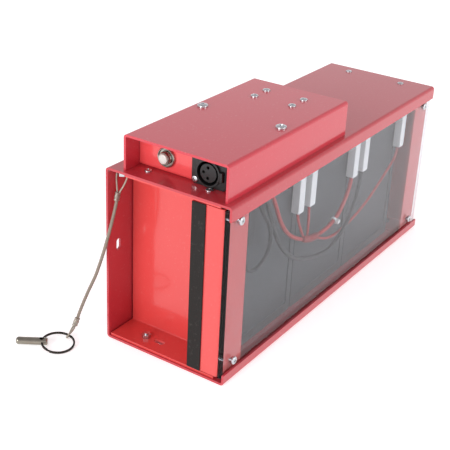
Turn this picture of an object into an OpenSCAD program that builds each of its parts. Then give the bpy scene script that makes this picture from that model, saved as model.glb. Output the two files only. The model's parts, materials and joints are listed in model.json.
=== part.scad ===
// Battery power box in folded sheet metal, with a smoked side window, recessed ends,
// a control housing on top and a locking pin on a wire lanyard.
// X runs along the box from the control end (-X) to the far end (+X).
// The window faces -Y, the back wall is +Y, and the box stands on z = 0.

/* [Case] */
// Length of the case
case_l = 360; // [300:1:440]
// Depth of the case, window side to back wall
case_d = 118; // [118:1:160]
// Height of the case
case_h = 155; // [155:1:190]
// Thickness of the folded sheet
sheet_t = 2; // [1.5:0.1:2.4]
// Outside radius of the folds
bend_r = 3; // [2.5:0.1:5]
// Height of the lip that hangs over the window
top_lip = 12; // [8:0.5:16]
// Height of the lip that stands in front of the window
bottom_lip = 9.5; // [6:0.5:11]

/* [End recesses] */
// Depth of each end recess, case edge to recessed panel
recess_depth = 30.5; // [26:0.5:40]
// Width of the hollow column beside the window, along Y
column_w = 30; // [24:0.5:34]
// Set-back of the column's face from the case edge
column_inset = 1.5; // [1:0.1:3]
// Clearance between an end frame and the bends of the case
frame_gap = 1; // [0.6:0.1:1.5]
// Gap above and below the column
column_gap = 0.6; // [0.3:0.1:1]
// Width of the grip strip on the near column
strip_w = 12.5; // [8:0.5:13]
// Thickness of the grip strip
strip_t = 1.2; // [0.6:0.1:1.3]

/* [Mounting slots] */
// Width of the mounting slots
slot_w = 5; // [4:0.1:6]
// Length of the mounting slots, end to end
slot_l = 10; // [8:0.5:14]
// Distance of a floor slot from the case edge
floor_slot_inset = 15; // [12:0.5:20]
// Distance of a floor slot from the middle plane of the case
floor_slot_y = 15.5; // [8:0.5:20]
// Distance of a rear slot from the case edge
rear_slot_inset = 13; // [10:0.5:18]
// Height of the rear slots
rear_slot_z = 83; // [70:1:90]

/* [Fasteners] */
// Thread diameter of the case and window screws
screw_d = 4; // [3:0.5:4]
// Head diameter of the case and window screws
screw_head_d = 7; // [6:0.1:7]
// Head height of the case and window screws
screw_head_h = 1.9; // [1.4:0.1:1.9]
// Head diameter of the screws in the case top
top_head_d = 6; // [5.4:0.1:7]
// Head height of the screws in the case top
top_head_h = 1.5; // [1.2:0.1:1.9]
// Clearance of a screw hole, on the diameter
hole_clearance = 0.4; // [0.2:0.1:0.6]
// Distance of the end screws from the case edge
end_screw_inset = 14.5; // [13.5:0.5:15]
// Half the distance between the two end screws
end_screw_y = 28.7; // [27:0.1:34]
// Height of the lower window screws
window_screw_low = 15.5; // [15:0.5:22]
// Distance of the upper window screws from the top of the case
window_screw_top = 16.5; // [16:0.5:22]

/* [Window] */
// Thickness of the acrylic sheet
window_t = 5; // [3:0.5:5]
// Height of the window's lower edge
window_z = 4.5; // [4.2:0.1:6]

/* [Control housing] */
// Length of the control housing
housing_l = 180; // [170:1:220]
// Width of the control housing
housing_w = 96.5; // [94:0.5:100]
// Height of the control housing
housing_h = 30; // [30:0.5:40]
// Distance of the housing's open end from the case edge
housing_inset = 3.6; // [3:0.1:8]
// Offset of the housing's middle towards the window
housing_shift = 4.2; // [3:0.1:5]
// Distance of the control panel from the case edge
panel_inset = 20.5; // [20:0.5:24]
// Height of the centre of the socket and of the breaker above the case top
control_z = 13.3; // [13.1:0.1:14]
// Position of the socket's centre along Y
socket_y = -24.6; // [-26:0.1:-22]
// Position of the breaker's centre along Y
breaker_y = 15.2; // [12:0.1:18]

/* [Batteries] */
// Width of one battery, along the case
battery_w = 97.2; // [70:0.1:97.2]
// Height of one battery as it stands
battery_h = 150; // [120:0.5:150]
// Depth of one battery, without its terminals
battery_d = 94; // [70:0.5:94]
// Gap between neighbouring batteries
battery_gap = 0.2; // [0.2:0.1:1]
// Height of the connectors' lower ends
connector_z = 103; // [95:1:108]

/* [Release pin] */
// Diameter of the pin
pin_d = 6.3; // [5:0.1:6.3]
// Length of the pin
pin_l = 26; // [22:0.5:34]
// Outside diameter of the split ring
ring_d = 28; // [26:0.5:28]
// Diameter of the lanyard over its coating
lanyard_d = 2.8; // [2:0.1:2.8]
// Diameter of the bare wire rope in the lanyard's loops
wire_d = 1.5; // [1:0.1:1.5]

/* [Hidden] */
$fn = 48;
half_l = case_l / 2;
half_d = case_d / 2;
inner_y = half_d - sheet_t;
panel_x = half_l - recess_depth;
bend_in = bend_r - sheet_t;
column_y0 = -inner_y + window_t;
column_y1 = column_y0 + column_w;
frame_y1 = inner_y - max(frame_gap, bend_in);
floor_flange_y0 = column_y0 + 4;
window_l = case_l - 2 * column_inset;
window_top = case_h - sheet_t - 2.5;
window_screw_x = half_l - column_inset - (recess_depth - column_inset) / 2;
floor_screw_x = half_l - end_screw_inset;
nut_d = 8.08;
nut_h = 3.2;
nut_gap = 0.03;

// Control housing
roof_z = case_h + housing_h;
housing_x0 = -half_l + housing_inset;
housing_x1 = housing_x0 + housing_l;
housing_y0 = -housing_shift - housing_w / 2;
housing_y1 = housing_y0 + housing_w;
control_x = -half_l + panel_inset;
control_h = case_h + control_z;
wall_gap = 0.3;
panel_foot = 14;
roof_screw_x = housing_x0 + 89.2;
roof_screw_ys = [34, -41];
module_x = housing_x1 - 32.2;
module_y = -3.5;
module_dx = 19.2;
module_dy = 37;
module_h = 14;
rivet_ys = [34, -42];

// Socket
socket_w = 31;
socket_h = 26;
socket_t = 1.6;
socket_bore = 19;
barrel_d = 22;
barrel_rear_d = 20.6;
barrel_drop = 1.6;
insert_d = 14.7;
contact_d = 2.4;
contact_r = 4.2;
socket_screw_dy = 12;
socket_screw_dz = 9.5;
latch_y = 12.4;
latch_w = 8;
latch_t = 2.6;
latch_gap = 0.2;
latch_travel = 1.5;
latch_box_y1 = latch_y + latch_t / 2 + latch_gap + 1.2;
latch_box_h = latch_w + 2 * latch_gap + 2.4;

// Breaker
breaker_w = 34;
breaker_h = 14;
breaker_l = 32;
bushing_d = 10.6;
button_d = 8;
button_gap = 0.08;
ring_nut_d = 16;

// Batteries and leads
// Three batteries and a little foam have to fit between the end frames
battery_room = 2 * (panel_x - sheet_t) - 2 * battery_gap - 2;
cell_w = min(battery_w, battery_room / 3);
battery_pitch = cell_w + battery_gap;
battery_y1 = inner_y - bend_in;
battery_y0 = battery_y1 - battery_d;
lid_t = 7;
tab_x = cell_w / 2 - 9.6;
tab_w = 6.35;
tab_t = 0.8;
tab_y = battery_y0 - 6;
connector_w = 9;
connector_d = 7.6;
connector_l = 37.5;
connector_top = connector_z + connector_l;
lead_d = 3.8;
branch_d = 2.5;
connector_y = tab_y + tab_t / 2;
wire_end_z = connector_z + 17;
breaker_tab_x = control_x + sheet_t + 1.5 + breaker_l + 8.1;
contact_end_x = control_x + 24.1;
grommet_x = -half_l + 61;
grommet_y = -43;
grommet_bore = 9.5;

// Anchor of the lanyard
anchor_x = half_l - 9.5;
anchor_y = half_d - 9;
anchor_wire_z = case_h - sheet_t - wire_d / 2 - 0.1;
anchor_washer_z = anchor_wire_z - wire_d / 2 - 0.1;
anchor_washer_t = 0.9;

// Ring and pin on the ground, measured from the case corner they lie beside
ring_x = -35.2;
ring_y = 82.1;
ring_z = 2.41;
ring_tilt = 5.3;
ring_high_side = 71.4;
ring_wire_w = 1.6;
ring_wire_h = 2.2;
pin_angle = 124;
pin_hole_d = 3.9;
pin_inner = 8.5;
pin_groove = 17.5;

// ---------------------------------------------------------------- routes, in mm
// Points with x measured from the near edge of the case.
lanyard_points = [
    [4, 51.4, 127.5], [3.4, 51.7, 123.5], [2.5, 52.3, 118.5], [1.2, 53.1, 112],
    [-0.2, 54.2, 104.5], [-1.6, 55.6, 96.5], [-2.8, 57.6, 87.5], [-3.7, 60.1, 78],
    [-4.7, 62.8, 68.5], [-5.8, 65.7, 59], [-7.1, 68.9, 50.5], [-8.4, 72.2, 42],
    [-9.5, 75.3, 33.5], [-10.6, 78, 25.5], [-11.6, 79.9, 19.2], [-12.3, 80.8, 15]
];
upper_loop_points = [
    [5.2, 50.1, 133.2], [5.5, 48.6, 136], [6.5, 46.6, 140], [8, 45, 145],
    [9.4, 44.6, 148.6], [10.6, 45, 151.2], [11.8, 46.6, 152.1], [12.7, 48.4, 152.1],
    [13, 50, 152.1], [12.7, 51.6, 152.1], [11.8, 53.4, 152.1], [10.6, 55, 151.2],
    [9.4, 55.2, 148.6], [8, 54.8, 145], [6.5, 53.4, 140], [5.6, 52.2, 136],
    [5.2, 51.8, 133.2]
];
lower_loop_points = [
    [-14.9, 81, 9.4], [-17.6, 80.4, 7.6], [-20.8, 80.3, 6], [-23.3, 80.7, 4.8],
    [-24.6, 81.8, 2.8], [-23.4, 82.8, 0.9], [-21.4, 83.4, 0.8], [-19.6, 83.7, 2.2],
    [-18.2, 83.5, 4.6], [-16.4, 83, 7.4], [-14.9, 82.4, 9.2]
];
// Points with x measured from the middle of the case.
red_points = [
    [breaker_tab_x, breaker_y - 9, 168.3], [-110, 6, 168.3], [-104, 1, 167.5],
    [-101, -8, 166], [-102, -19, 164], [-107, -30, 162.5], [-112.5, -38, 161.5],
    [-116, -42.6, 159], [-116.4, -43, 156], [-116.4, -43, 151], [-112, -44, 144],
    [-104, -45, 135], [-98, -45, 124], [-92, -45, 112], [-82, -45, 97], [-65, -45, 82],
    [-47, -45, 73]
];
red_rise_points = [
    [-21, -45, 67], [-6, -45, 67], [9, -45, 70], [21, -45, 77], [30, -44.6, 86],
    [36.6, -44, 94], [pole_x(0, 1), connector_y, 101], [pole_x(0, 1), connector_y, 108],
    [pole_x(0, 1), connector_y, wire_end_z]
];
splice_points = [[-48, -45, 73.6], [-34, -45, 68.4], [-20, -45, 67]];
branch_points = [
    [[pole_x(-1, 1), connector_y, wire_end_z], [pole_x(-1, 1), connector_y, 108],
     [pole_x(-1, 1), connector_y, 101], [-57, -44.2, 94], [-52, -44.7, 84], [-46, -45, 74]],
    [[pole_x(0, -1), connector_y, wire_end_z], [pole_x(0, -1), connector_y, 108],
     [pole_x(0, -1), connector_y, 101], [-38.6, -44.2, 94], [-39, -44.7, 84],
     [-40, -45, 72]],
    [[pole_x(1, 1), connector_y, wire_end_z], [pole_x(1, 1), connector_y, 108],
     [pole_x(1, 1), connector_y, 101], [131, -44.2, 92], [108, -44.6, 80], [80, -45, 67],
     [46, -45, 57], [10, -45, 54], [-10, -45, 59], [-22, -45, 65]]
];
black_points = [
    [contact_end_x, -20.4, 166.7], [-130, -20.6, 166.9], [-125.5, -25, 167.5],
    [-123, -32, 166], [-121, -38, 163], [-120.2, -41, 158], [-120.2, -41, 151],
    [-118.8, -43.5, 146], [-116.6, -46.5, 138], [-112, -49, 122], [-106, -49.6, 106],
    [-95, -49.6, 89], [-82, -49.6, 75], [-66, -49.6, 64], [-46, -49.6, 56],
    [-25, -49.6, 50], [-4, -49.6, 48], [16, -49.4, 54], [34, -48.4, 66], [48, -46.4, 80],
    [56, -44.6, 92], [pole_x(1, -1), connector_y, 101], [pole_x(1, -1), connector_y, 108],
    [pole_x(1, -1), connector_y, wire_end_z]
];
end_black_points = [
    [contact_end_x, -24.2, 162.5], [-131, -25, 162.2], [-128.5, -31, 161.5],
    [-126.5, -38, 159.9], [-124, -43, 159.4], [-121, -44.9, 158], [-120.2, -45, 155.5],
    [-120.2, -45, 151], [-125.5, -47, 146], [-129.5, -48.6, 139], [-124.5, -49.4, 129],
    [-115.5, -49.6, 117], [-109.5, -49.6, 103], [-111, -49.6, 90], [-119, -49.4, 83],
    [-130, -48.6, 79], [-139, -46.6, 82], [-140.4, -44.6, 90],
    [pole_x(-1, -1), connector_y, 99], [pole_x(-1, -1), connector_y, 108],
    [pole_x(-1, -1), connector_y, wire_end_z]
];
output_points = [
    [breaker_tab_x, breaker_y + 9, 168.3], [-111, 24.4, 168.8], [-106, 20, 174],
    [-106, 8, 177.4], [-112, -6, 177.6], [-121, -15, 176.4], [-129, -22, 172.2],
    [contact_end_x, -24.2, 170.9]
];

// The routes are drawn for a case 155 high. Above the floor they stretch with the case, and
// inside the housing they rise with its top.
drawn_h = 155;
drawn_wire_z = 152.15;
lanyard_low = 15;
lanyard_high = 127.5;
function stretch(z) =
    (case_h - drawn_h) * min(1, max(0, (z - lanyard_low) / (lanyard_high - lanyard_low)))
    + (z > lanyard_high ? anchor_wire_z - drawn_wire_z - (case_h - drawn_h) : 0);
function from_near_edge(points) = [for (p = points) [p.x - half_l, p.y, p.z + stretch(p.z)]];
function with_top(points) =
    [for (p = points) [p.x, p.y, p.z + (p.z > 149 ? case_h - drawn_h : 0)]];

// ---------------------------------------------------------------- swept tubes
function unit(v) = v / norm(v);
function across(v, t) = unit(v - (v * t) * t);
function tangent(p, i) = unit(p[min(i + 1, len(p) - 1)] - p[max(i - 1, 0)]);
function sides_of(p, i = 0, last = [0, 0, 1]) =
    let (t = tangent(p, i))
    let (hint = i == 0 && abs(t.z) > 0.9 ? [1, 0, 0] : last)
    let (s = across(hint, t))
    i == len(p) - 1 ? [s] : concat([s], sides_of(p, i + 1, s));

// Point of a Catmull-Rom curve between b and c
function blend_point(a, b, c, d, u) =
    0.5 * (2 * b + (c - a) * u + (2 * a - 5 * b + 4 * c - d) * u * u
    + (3 * b - a - 3 * c + d) * u * u * u);

// Points of a smooth curve through p, about step apart
function smooth(p, step) = concat(
    [for (i = [0:len(p) - 2])
        let (n = max(1, round(norm(p[i + 1] - p[i]) / step)))
        for (j = [0:n - 1])
            blend_point(p[max(i - 1, 0)], p[i], p[i + 1], p[min(i + 2, len(p) - 1)], j / n)],
    [p[len(p) - 1]]);

module tube(p, d, sides = 8) {
    n = len(p);
    s = sides_of(p);
    points = [for (i = [0:n - 1]) for (k = [0:sides - 1])
        let (a = 360 * k / sides)
        p[i] + d / 2 * (cos(a) * s[i] + sin(a) * cross(tangent(p, i), s[i]))];
    skin = [for (i = [0:n - 2]) for (k = [0:sides - 1])
        let (a = i * sides + k, b = i * sides + (k + 1) % sides)
        [[a, a + sides, b], [b, a + sides, b + sides]]];
    first = [[for (k = [0:sides - 1]) k]];
    last = [[for (k = [sides - 1:-1:0]) (n - 1) * sides + k]];
    polyhedron(points, concat([for (pair = skin) for (f = pair) f], first, last));
}

// ---------------------------------------------------------------- shared shapes
module rounded_rect(w, h, r) {
    square([w - 2 * r, h], center = true);
    square([w, h - 2 * r], center = true);
    for (x = [-1, 1], y = [-1, 1])
        translate([x * (w / 2 - r), y * (h / 2 - r)]) circle(r);
}

module obround(l, w) {
    square([l - w, w], center = true);
    for (x = [-1, 1]) translate([x * (l - w) / 2, 0]) circle(w / 2);
}

// Extrudes a shape drawn in Y and Z along X, from x0 to x1
module along_x(x0, x1) {
    translate([x0, 0, 0]) rotate([90, 0, 90]) linear_extrude(x1 - x0) children();
}

// Extrudes a shape drawn in X and Z along Y, from y0 to y1
module along_y(y0, y1) {
    translate([0, y1, 0]) rotate([90, 0, 0]) linear_extrude(y1 - y0) children();
}

module box(x, y, z) {
    translate([x[0], y[0], z[0]]) cube([x[1] - x[0], y[1] - y[0], z[1] - z[0]]);
}

module hole(d, h) {
    translate([0, 0, -h / 2]) cylinder(d = d, h = h);
}

// Pan head screw with its head up and its seat at z = 0
module pan_screw(d, head_d, head_h, l) {
    edge = head_h * 0.4;
    difference() {
        union() {
            cylinder(d = head_d, h = head_h - edge);
            translate([0, 0, head_h - edge]) cylinder(d1 = head_d, d2 = head_d - 2 * edge, h = edge);
            translate([0, 0, -l]) cylinder(d = d, h = l);
        }
        cross_recess(head_d * 0.5, head_d * 0.12, head_h);
    }
}

module cross_recess(l, w, head_h) {
    for (a = [0, 90])
        rotate([0, 0, a]) translate([-l / 2, -w / 2, head_h * 0.45]) cube([l, w, head_h]);
}

module hex_nut(across_corners, bore, h) {
    difference() {
        cylinder(d = across_corners, h = h, $fn = 6);
        translate([0, 0, h / 2]) hole(bore + 2 * nut_gap, h + 2);
    }
}

module at_end_screws() {
    for (side = [-1, 1], y = [-end_screw_y, end_screw_y])
        translate([side * floor_screw_x, y, 0]) children();
}

module at_window_screws() {
    for (side = [-1, 1], z = [window_screw_low, case_h - window_screw_top])
        translate([side * window_screw_x, -inner_y, z]) rotate([90, 0, 0]) children();
}

module at_roof_screws() {
    for (y = roof_screw_ys) translate([roof_screw_x, y, roof_z]) children();
}

module at_module_screws() {
    for (i = [-1, 1], j = [-1, 1])
        translate([module_x + i * module_dx / 2, module_y + j * module_dy / 2, roof_z]) children();
}

// ---------------------------------------------------------------- case
module outer_wrap() {
    color([0.72, 0.1, 0.13]) difference() {
        along_x(-half_l, half_l) difference() {
            translate([0, case_h / 2]) rounded_rect(case_d, case_h, bend_r);
            translate([0, case_h / 2])
                rounded_rect(case_d - 2 * sheet_t, case_h - 2 * sheet_t, bend_in);
            translate([-half_d - 1, bottom_lip])
                square([sheet_t + 1, case_h - top_lip - bottom_lip]);
        }
        at_end_screws() translate([0, 0, case_h]) hole(screw_d + hole_clearance, 3 * sheet_t);
        at_end_screws() hole(screw_d + hole_clearance, 3 * sheet_t);
        at_end_screws() countersink();
        for (side = [-1, 1]) translate([side * (half_l - floor_slot_inset), floor_slot_y, 0])
            floor_slot();
        for (side = [-1, 1]) translate([side * (half_l - rear_slot_inset), half_d, rear_slot_z])
            rear_slot();
        translate([grommet_x, grommet_y, case_h]) hole(grommet_bore + 2.5, 3 * sheet_t);
        for (y = roof_screw_ys) translate([roof_screw_x, y, case_h]) hole(6.4, 3 * sheet_t);
        for (y = rivet_ys) translate([control_x + panel_foot / 2, y, case_h]) hole(3.3, 3 * sheet_t);
    }
}

module countersink() {
    translate([0, 0, -0.01]) cylinder(d1 = screw_head_d + 0.6, d2 = screw_d + 0.4, h = 1.6);
}

module floor_slot() {
    translate([0, 0, -sheet_t]) rotate([0, 0, 90])
        linear_extrude(5 * sheet_t) obround(slot_l, slot_w);
}

module rear_slot() {
    rotate([90, 90, 0]) translate([0, 0, -sheet_t]) linear_extrude(4 * sheet_t)
        obround(slot_l, slot_w);
}

// End frame for the +X end; the near one is its mirror image
module end_frame() {
    outer_x = half_l - column_inset;
    back_x = panel_x - sheet_t;
    difference() {
        union() {
            along_y(column_y1 - sheet_t, frame_y1) frame_channel(back_x, outer_x);
            along_y(floor_flange_y0, column_y1 - sheet_t)
                frame_flanges(panel_x + 1, outer_x);
            column_shell(back_x, outer_x);
        }
        for (y = [-end_screw_y, end_screw_y])
            translate([floor_screw_x, y, case_h / 2]) hole(screw_d + hole_clearance, case_h);
        translate([half_l - floor_slot_inset, floor_slot_y, 0]) floor_slot();
        for (z = [window_screw_low, case_h - window_screw_top])
            translate([window_screw_x, column_y0, z]) rotate([90, 0, 0])
                hole(screw_d + hole_clearance, 3 * sheet_t);
    }
}

// Recessed panel with a flange along the floor and one under the top
module frame_channel(x0, x1) {
    z0 = sheet_t;
    z1 = case_h - sheet_t;
    difference() {
        translate([(x0 + x1 + bend_r) / 2, (z0 + z1) / 2])
            rounded_rect(x1 - x0 + bend_r, z1 - z0, bend_r);
        translate([(x0 + x1 + bend_r) / 2 + sheet_t, (z0 + z1) / 2])
            rounded_rect(x1 - x0 + bend_r, z1 - z0 - 2 * sheet_t, bend_in);
        translate([x1, z0 - 1]) square([bend_r + 2, z1 - z0 + 2]);
    }
}

module frame_flanges(x0, x1) {
    translate([x0, sheet_t]) square([x1 - x0, sheet_t]);
    translate([x0, case_h - 2 * sheet_t]) square([x1 - x0, sheet_t]);
}

// Hollow column that carries the window and closes the recess on its side
module column_shell(x0, x1) {
    z0 = 2 * sheet_t + column_gap;
    z1 = case_h - 2 * sheet_t - column_gap;
    middle_x = (x0 + x1) / 2;
    middle_y = (column_y0 + column_y1) / 2;
    translate([0, 0, z0]) linear_extrude(z1 - z0) difference() {
        translate([middle_x - bend_r, middle_y])
            rounded_rect(x1 - x0 + 2 * bend_r, column_w, bend_r);
        translate([middle_x - bend_r, middle_y])
            rounded_rect(x1 - x0 + 2 * bend_r - 2 * sheet_t, column_w - 2 * sheet_t, bend_in);
        translate([x0 - 4 * bend_r, column_y0 - 1]) square([4 * bend_r, column_w + 2]);
        translate([x0 - 1, column_y0 - 1]) square([sheet_t + 1, sheet_t + 1 + bend_in]);
    }
}

module near_end_frame() {
    color([0.82, 0.13, 0.15]) difference() {
        mirror([1, 0, 0]) end_frame();
        box([-half_l, -anchor_x + 8], [anchor_y - 9, half_d], [case_h - 3 * sheet_t, case_h]);
        for (y = rivet_ys) translate([control_x + panel_foot / 2, y, case_h - sheet_t])
            hole(6.4, 3 * sheet_t);
    }
}

module far_end_frame() {
    color([0.8, 0.12, 0.15]) end_frame();
}

module window() {
    color([0.2, 0.22, 0.24, 0.6]) difference() {
        box([-window_l / 2, window_l / 2], [-inner_y, -inner_y + window_t],
            [window_z, window_top]);
        at_window_screws() hole(screw_d + hole_clearance, 4 * window_t);
    }
}

module window_screws() {
    color("silver") at_window_screws()
        pan_screw(screw_d, screw_head_d, screw_head_h, window_t + sheet_t + nut_h + 1);
}

module window_nuts() {
    color("gainsboro") at_window_screws() translate([0, 0, -window_t - sheet_t - nut_h])
        hex_nut(nut_d, screw_d, nut_h);
}

module top_end_screws() {
    color("silver") at_end_screws() translate([0, 0, case_h])
        pan_screw(screw_d, top_head_d, top_head_h, 2 * sheet_t + nut_h + 1);
}

module top_end_nuts() {
    color("gainsboro") at_end_screws() translate([0, 0, case_h - 2 * sheet_t - nut_h])
        hex_nut(nut_d, screw_d, nut_h);
}

module bottom_end_screws() {
    color("silver") at_end_screws() {
        cylinder(d1 = screw_head_d, d2 = screw_d, h = 1.5);
        cylinder(d = screw_d, h = 2 * sheet_t + nut_h + 1);
    }
}

module bottom_end_nuts() {
    color("gainsboro") at_end_screws() translate([0, 0, 2 * sheet_t])
        hex_nut(nut_d, screw_d, nut_h);
}

module grip_strip() {
    x1 = -half_l + column_inset;
    y1 = column_y1 - 1;
    margin = 2 * sheet_t + column_gap;
    color([0.18, 0.17, 0.17])
        box([x1 - strip_t, x1], [y1 - strip_w, y1], [margin, case_h - margin]);
}

// ---------------------------------------------------------------- control housing
module top_housing() {
    width = housing_w;
    middle_y = (housing_y0 + housing_y1) / 2;
    color([0.72, 0.12, 0.16]) difference() {
        union() {
            along_x(housing_x0, housing_x1) difference() {
                housing_outline(middle_y, width, housing_h, bend_r);
                housing_outline(middle_y, width - 2 * sheet_t, housing_h - sheet_t, bend_in);
            }
            box([housing_x1 - sheet_t, housing_x1],
                [housing_y0 + sheet_t, housing_y1 - sheet_t],
                [case_h, roof_z - sheet_t]);
        }
        at_roof_screws() hole(5.4, 4 * sheet_t);
        at_module_screws() hole(3.4, 4 * sheet_t);
    }
}

// Inverted U drawn in Y and Z, its feet on the case top
module housing_outline(middle_y, w, h, r) {
    translate([middle_y - w / 2, case_h]) square([w, h - r]);
    translate([middle_y - w / 2 + r, case_h]) square([w - 2 * r, h]);
    for (side = [-1, 1])
        translate([middle_y + side * (w / 2 - r), case_h + h - r]) circle(r);
}

module control_panel() {
    y0 = housing_y0 + sheet_t + wall_gap;
    y1 = housing_y1 - sheet_t - wall_gap;
    color([0.88, 0.2, 0.2]) difference() {
        along_y(y0, y1) difference() {
            translate([control_x, case_h]) square([panel_foot, housing_h - sheet_t - wall_gap]);
            translate([control_x + sheet_t + bend_in, case_h + sheet_t])
                square([panel_foot, housing_h]);
            translate([control_x + sheet_t, case_h + sheet_t + bend_in])
                square([panel_foot, housing_h]);
            difference() {
                translate([control_x - 1, case_h - 1]) square(bend_r + 1);
                translate([control_x + bend_r, case_h + bend_r]) circle(bend_r);
            }
        }
        at_barrel() rotate([0, 90, 0]) hole(barrel_rear_d + 1, 50);
        at_barrel() box([-sheet_t, 2 * sheet_t], [-latch_box_y1 - wall_gap, 0],
            [-latch_box_h / 2 - wall_gap, latch_box_h / 2 + wall_gap]);
        at_socket_screws() box([sheet_t, 2 * sheet_t + 1], [-3.8, 3.8], [-5, 4]);
        at_socket_screws() rotate([0, 90, 0]) hole(3.4, 4 * sheet_t);
        at_breaker() rotate([0, 90, 0]) hole(bushing_d + hole_clearance, 4 * sheet_t);
        for (y = rivet_ys) translate([control_x + panel_foot / 2, y, case_h]) hole(3.3, 6 * sheet_t);
        for (y = [y0, y1]) translate([control_x, y, roof_z - sheet_t - wall_gap])
            rotate([45, 0, 0]) cube([3 * sheet_t, 2.2, 2.2], center = true);
    }
}

module panel_rivets() {
    color("silver") for (y = rivet_ys) translate([control_x + panel_foot / 2, y, case_h]) {
        translate([0, 0, sheet_t]) cylinder(d1 = 6, d2 = 4, h = 1.2);
        translate([0, 0, -sheet_t]) cylinder(d = 3.2, h = 2 * sheet_t);
        translate([0, 0, -sheet_t - 0.7]) cylinder(d = 4.6, h = 0.7);
    }
}

module housing_screws() {
    color("silver") at_roof_screws() pan_screw(5, 9, 2.4, sheet_t + 8);
}

module housing_standoffs() {
    color("lightgray") for (y = roof_screw_ys) translate([roof_screw_x, y, case_h]) difference() {
        union() {
            cylinder(d = 9.2, h = housing_h - sheet_t, $fn = 6);
            translate([0, 0, -sheet_t]) cylinder(d = 6.3, h = sheet_t);
        }
        translate([0, 0, housing_h - sheet_t - 10]) cylinder(d = 5 + 2 * nut_gap, h = 12);
    }
}

module power_module() {
    color([0.13, 0.13, 0.14]) difference() {
        union() {
            translate([module_x, module_y, roof_z - sheet_t - module_h])
                linear_extrude(module_h) rounded_rect(module_dx + 12, module_dy + 10, 2);
            for (i = [-2:2])
                box([module_x - 12, module_x + 12],
                    [module_y + i * 6 - 1, module_y + i * 6 + 1],
                    [roof_z - sheet_t - module_h - 3, roof_z - sheet_t - module_h]);
        }
        at_module_screws() translate([0, 0, -sheet_t - 9]) cylinder(d = 3 + 2 * nut_gap, h = 12);
    }
}

module module_screws() {
    color("silver") at_module_screws() pan_screw(3, 6.6, 1.9, sheet_t + 7);
}

// ---------------------------------------------------------------- breaker
module at_breaker() {
    translate([control_x, breaker_y, control_h]) children();
}

// Rod along X drawn from the panel's front face
module rod_x(x0, x1, d) {
    translate([x0, 0, 0]) rotate([0, 90, 0]) cylinder(d = d, h = x1 - x0);
}

module breaker_body() {
    x0 = sheet_t + 1.5;
    color([0.12, 0.12, 0.12]) at_breaker() difference() {
        along_x(x0, x0 + breaker_l) rounded_rect(breaker_w, breaker_h, 1.5);
        rod_x(x0 - 1, x0 + 14, button_d + 2 * button_gap);
        for (side = [-1, 1]) translate([0, side * 9, 0])
            box([x0 + breaker_l - 6, x0 + breaker_l + 1],
                [-tab_w / 2 - 0.02, tab_w / 2 + 0.02], [-tab_t / 2 - 0.02, tab_t / 2 + 0.02]);
    }
}

module breaker_bushing() {
    color("silver") at_breaker() difference() {
        union() {
            rod_x(-4.6, sheet_t, bushing_d);
            rod_x(sheet_t, sheet_t + 1.5, 14);
        }
        rod_x(-8, sheet_t + 2, button_d + 2 * button_gap);
    }
}

module breaker_nut() {
    color("gainsboro") at_breaker() difference() {
        union() {
            rod_x(-1.8, 0, ring_nut_d);
            translate([-2.4, 0, 0]) rotate([0, 90, 0])
                cylinder(d1 = ring_nut_d - 1.2, d2 = ring_nut_d, h = 0.6);
        }
        rod_x(-4, 1, bushing_d + 2 * nut_gap);
        rod_x(-3, -1.3, bushing_d + 3);
    }
}

module breaker_button() {
    color("white") at_breaker() {
        rod_x(-5.7, 10, button_d);
        translate([-6.7, 0, 0]) rotate([0, 90, 0]) cylinder(d1 = button_d - 2, d2 = button_d, h = 1);
    }
}

module breaker_spring() {
    turns = 4;
    spring_r = 2.6;
    x0 = 10.2;
    x1 = sheet_t + 1.5 + 13.6;
    points = [for (i = [0:turns * 12])
        [x0 + 0.4 + (x1 - x0 - 0.8) * i / (turns * 12), spring_r * cos(30 * i),
         spring_r * sin(30 * i)]];
    color("silver") at_breaker() tube(points, 0.7);
}

module breaker_terminals() {
    x0 = sheet_t + 1.5 + breaker_l;
    color([0.8, 0.7, 0.45]) at_breaker() for (side = [-1, 1]) translate([0, side * 9, 0])
        box([x0 - 5.9, x0 + 8], [-tab_w / 2, tab_w / 2], [-tab_t / 2, tab_t / 2]);
}

// ---------------------------------------------------------------- socket
module at_socket() {
    translate([control_x, socket_y, control_h]) children();
}

// The barrel sits a little below the middle of its flange
module at_barrel() {
    at_socket() translate([0, 0, -barrel_drop]) children();
}

module at_socket_screws() {
    for (s = [-1, 1])
        at_socket() translate([0, -s * socket_screw_dy, s * socket_screw_dz]) children();
}

module socket_shell() {
    color([0.75, 0.75, 0.73]) difference() {
        at_barrel() {
            difference() {
                union() {
                    translate([0, 0, barrel_drop])
                        along_x(-socket_t, 0) rounded_rect(socket_w, socket_h, 3);
                    rod_x(-3.4, 0, barrel_d);
                    rod_x(0, 22, barrel_rear_d);
                    box([0, 18], [-latch_box_y1, -8], [-latch_box_h / 2, latch_box_h / 2]);
                }
                rod_x(-4, 20, socket_bore);
                box([-4, 17], [-latch_y - latch_t / 2 - latch_gap, -latch_y + latch_t / 2 + latch_gap],
                    [-latch_w / 2 - latch_gap, latch_w / 2 + latch_gap]);
                for (i = [0:2]) translate([0, contact_y(i), contact_z(i)])
                    rod_x(19, 23, contact_d + 1.2);
            }
        }
        at_socket_screws() rotate([0, 90, 0]) hole(3.3, 8);
    }
}

function contact_y(i) = contact_r * cos(i * 85 - 85);
function contact_z(i) = contact_r * sin(i * 85 - 85);

module socket_insert() {
    color([0.1, 0.1, 0.11]) at_barrel() difference() {
        union() {
            rod_x(-2.4, 17, insert_d);
            rod_x(17, 20, socket_bore - 0.04);
        }
        for (i = [0:2]) translate([0, contact_y(i), contact_z(i)])
            rod_x(-3, 21, contact_d + 0.1);
    }
}

module socket_contacts() {
    color([0.85, 0.75, 0.45]) at_barrel() for (i = [0:2])
        translate([0, contact_y(i), contact_z(i)]) difference() {
            rod_x(1.5, 24, contact_d);
            rod_x(1, 14, contact_d - 0.7);
        }
}

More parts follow.
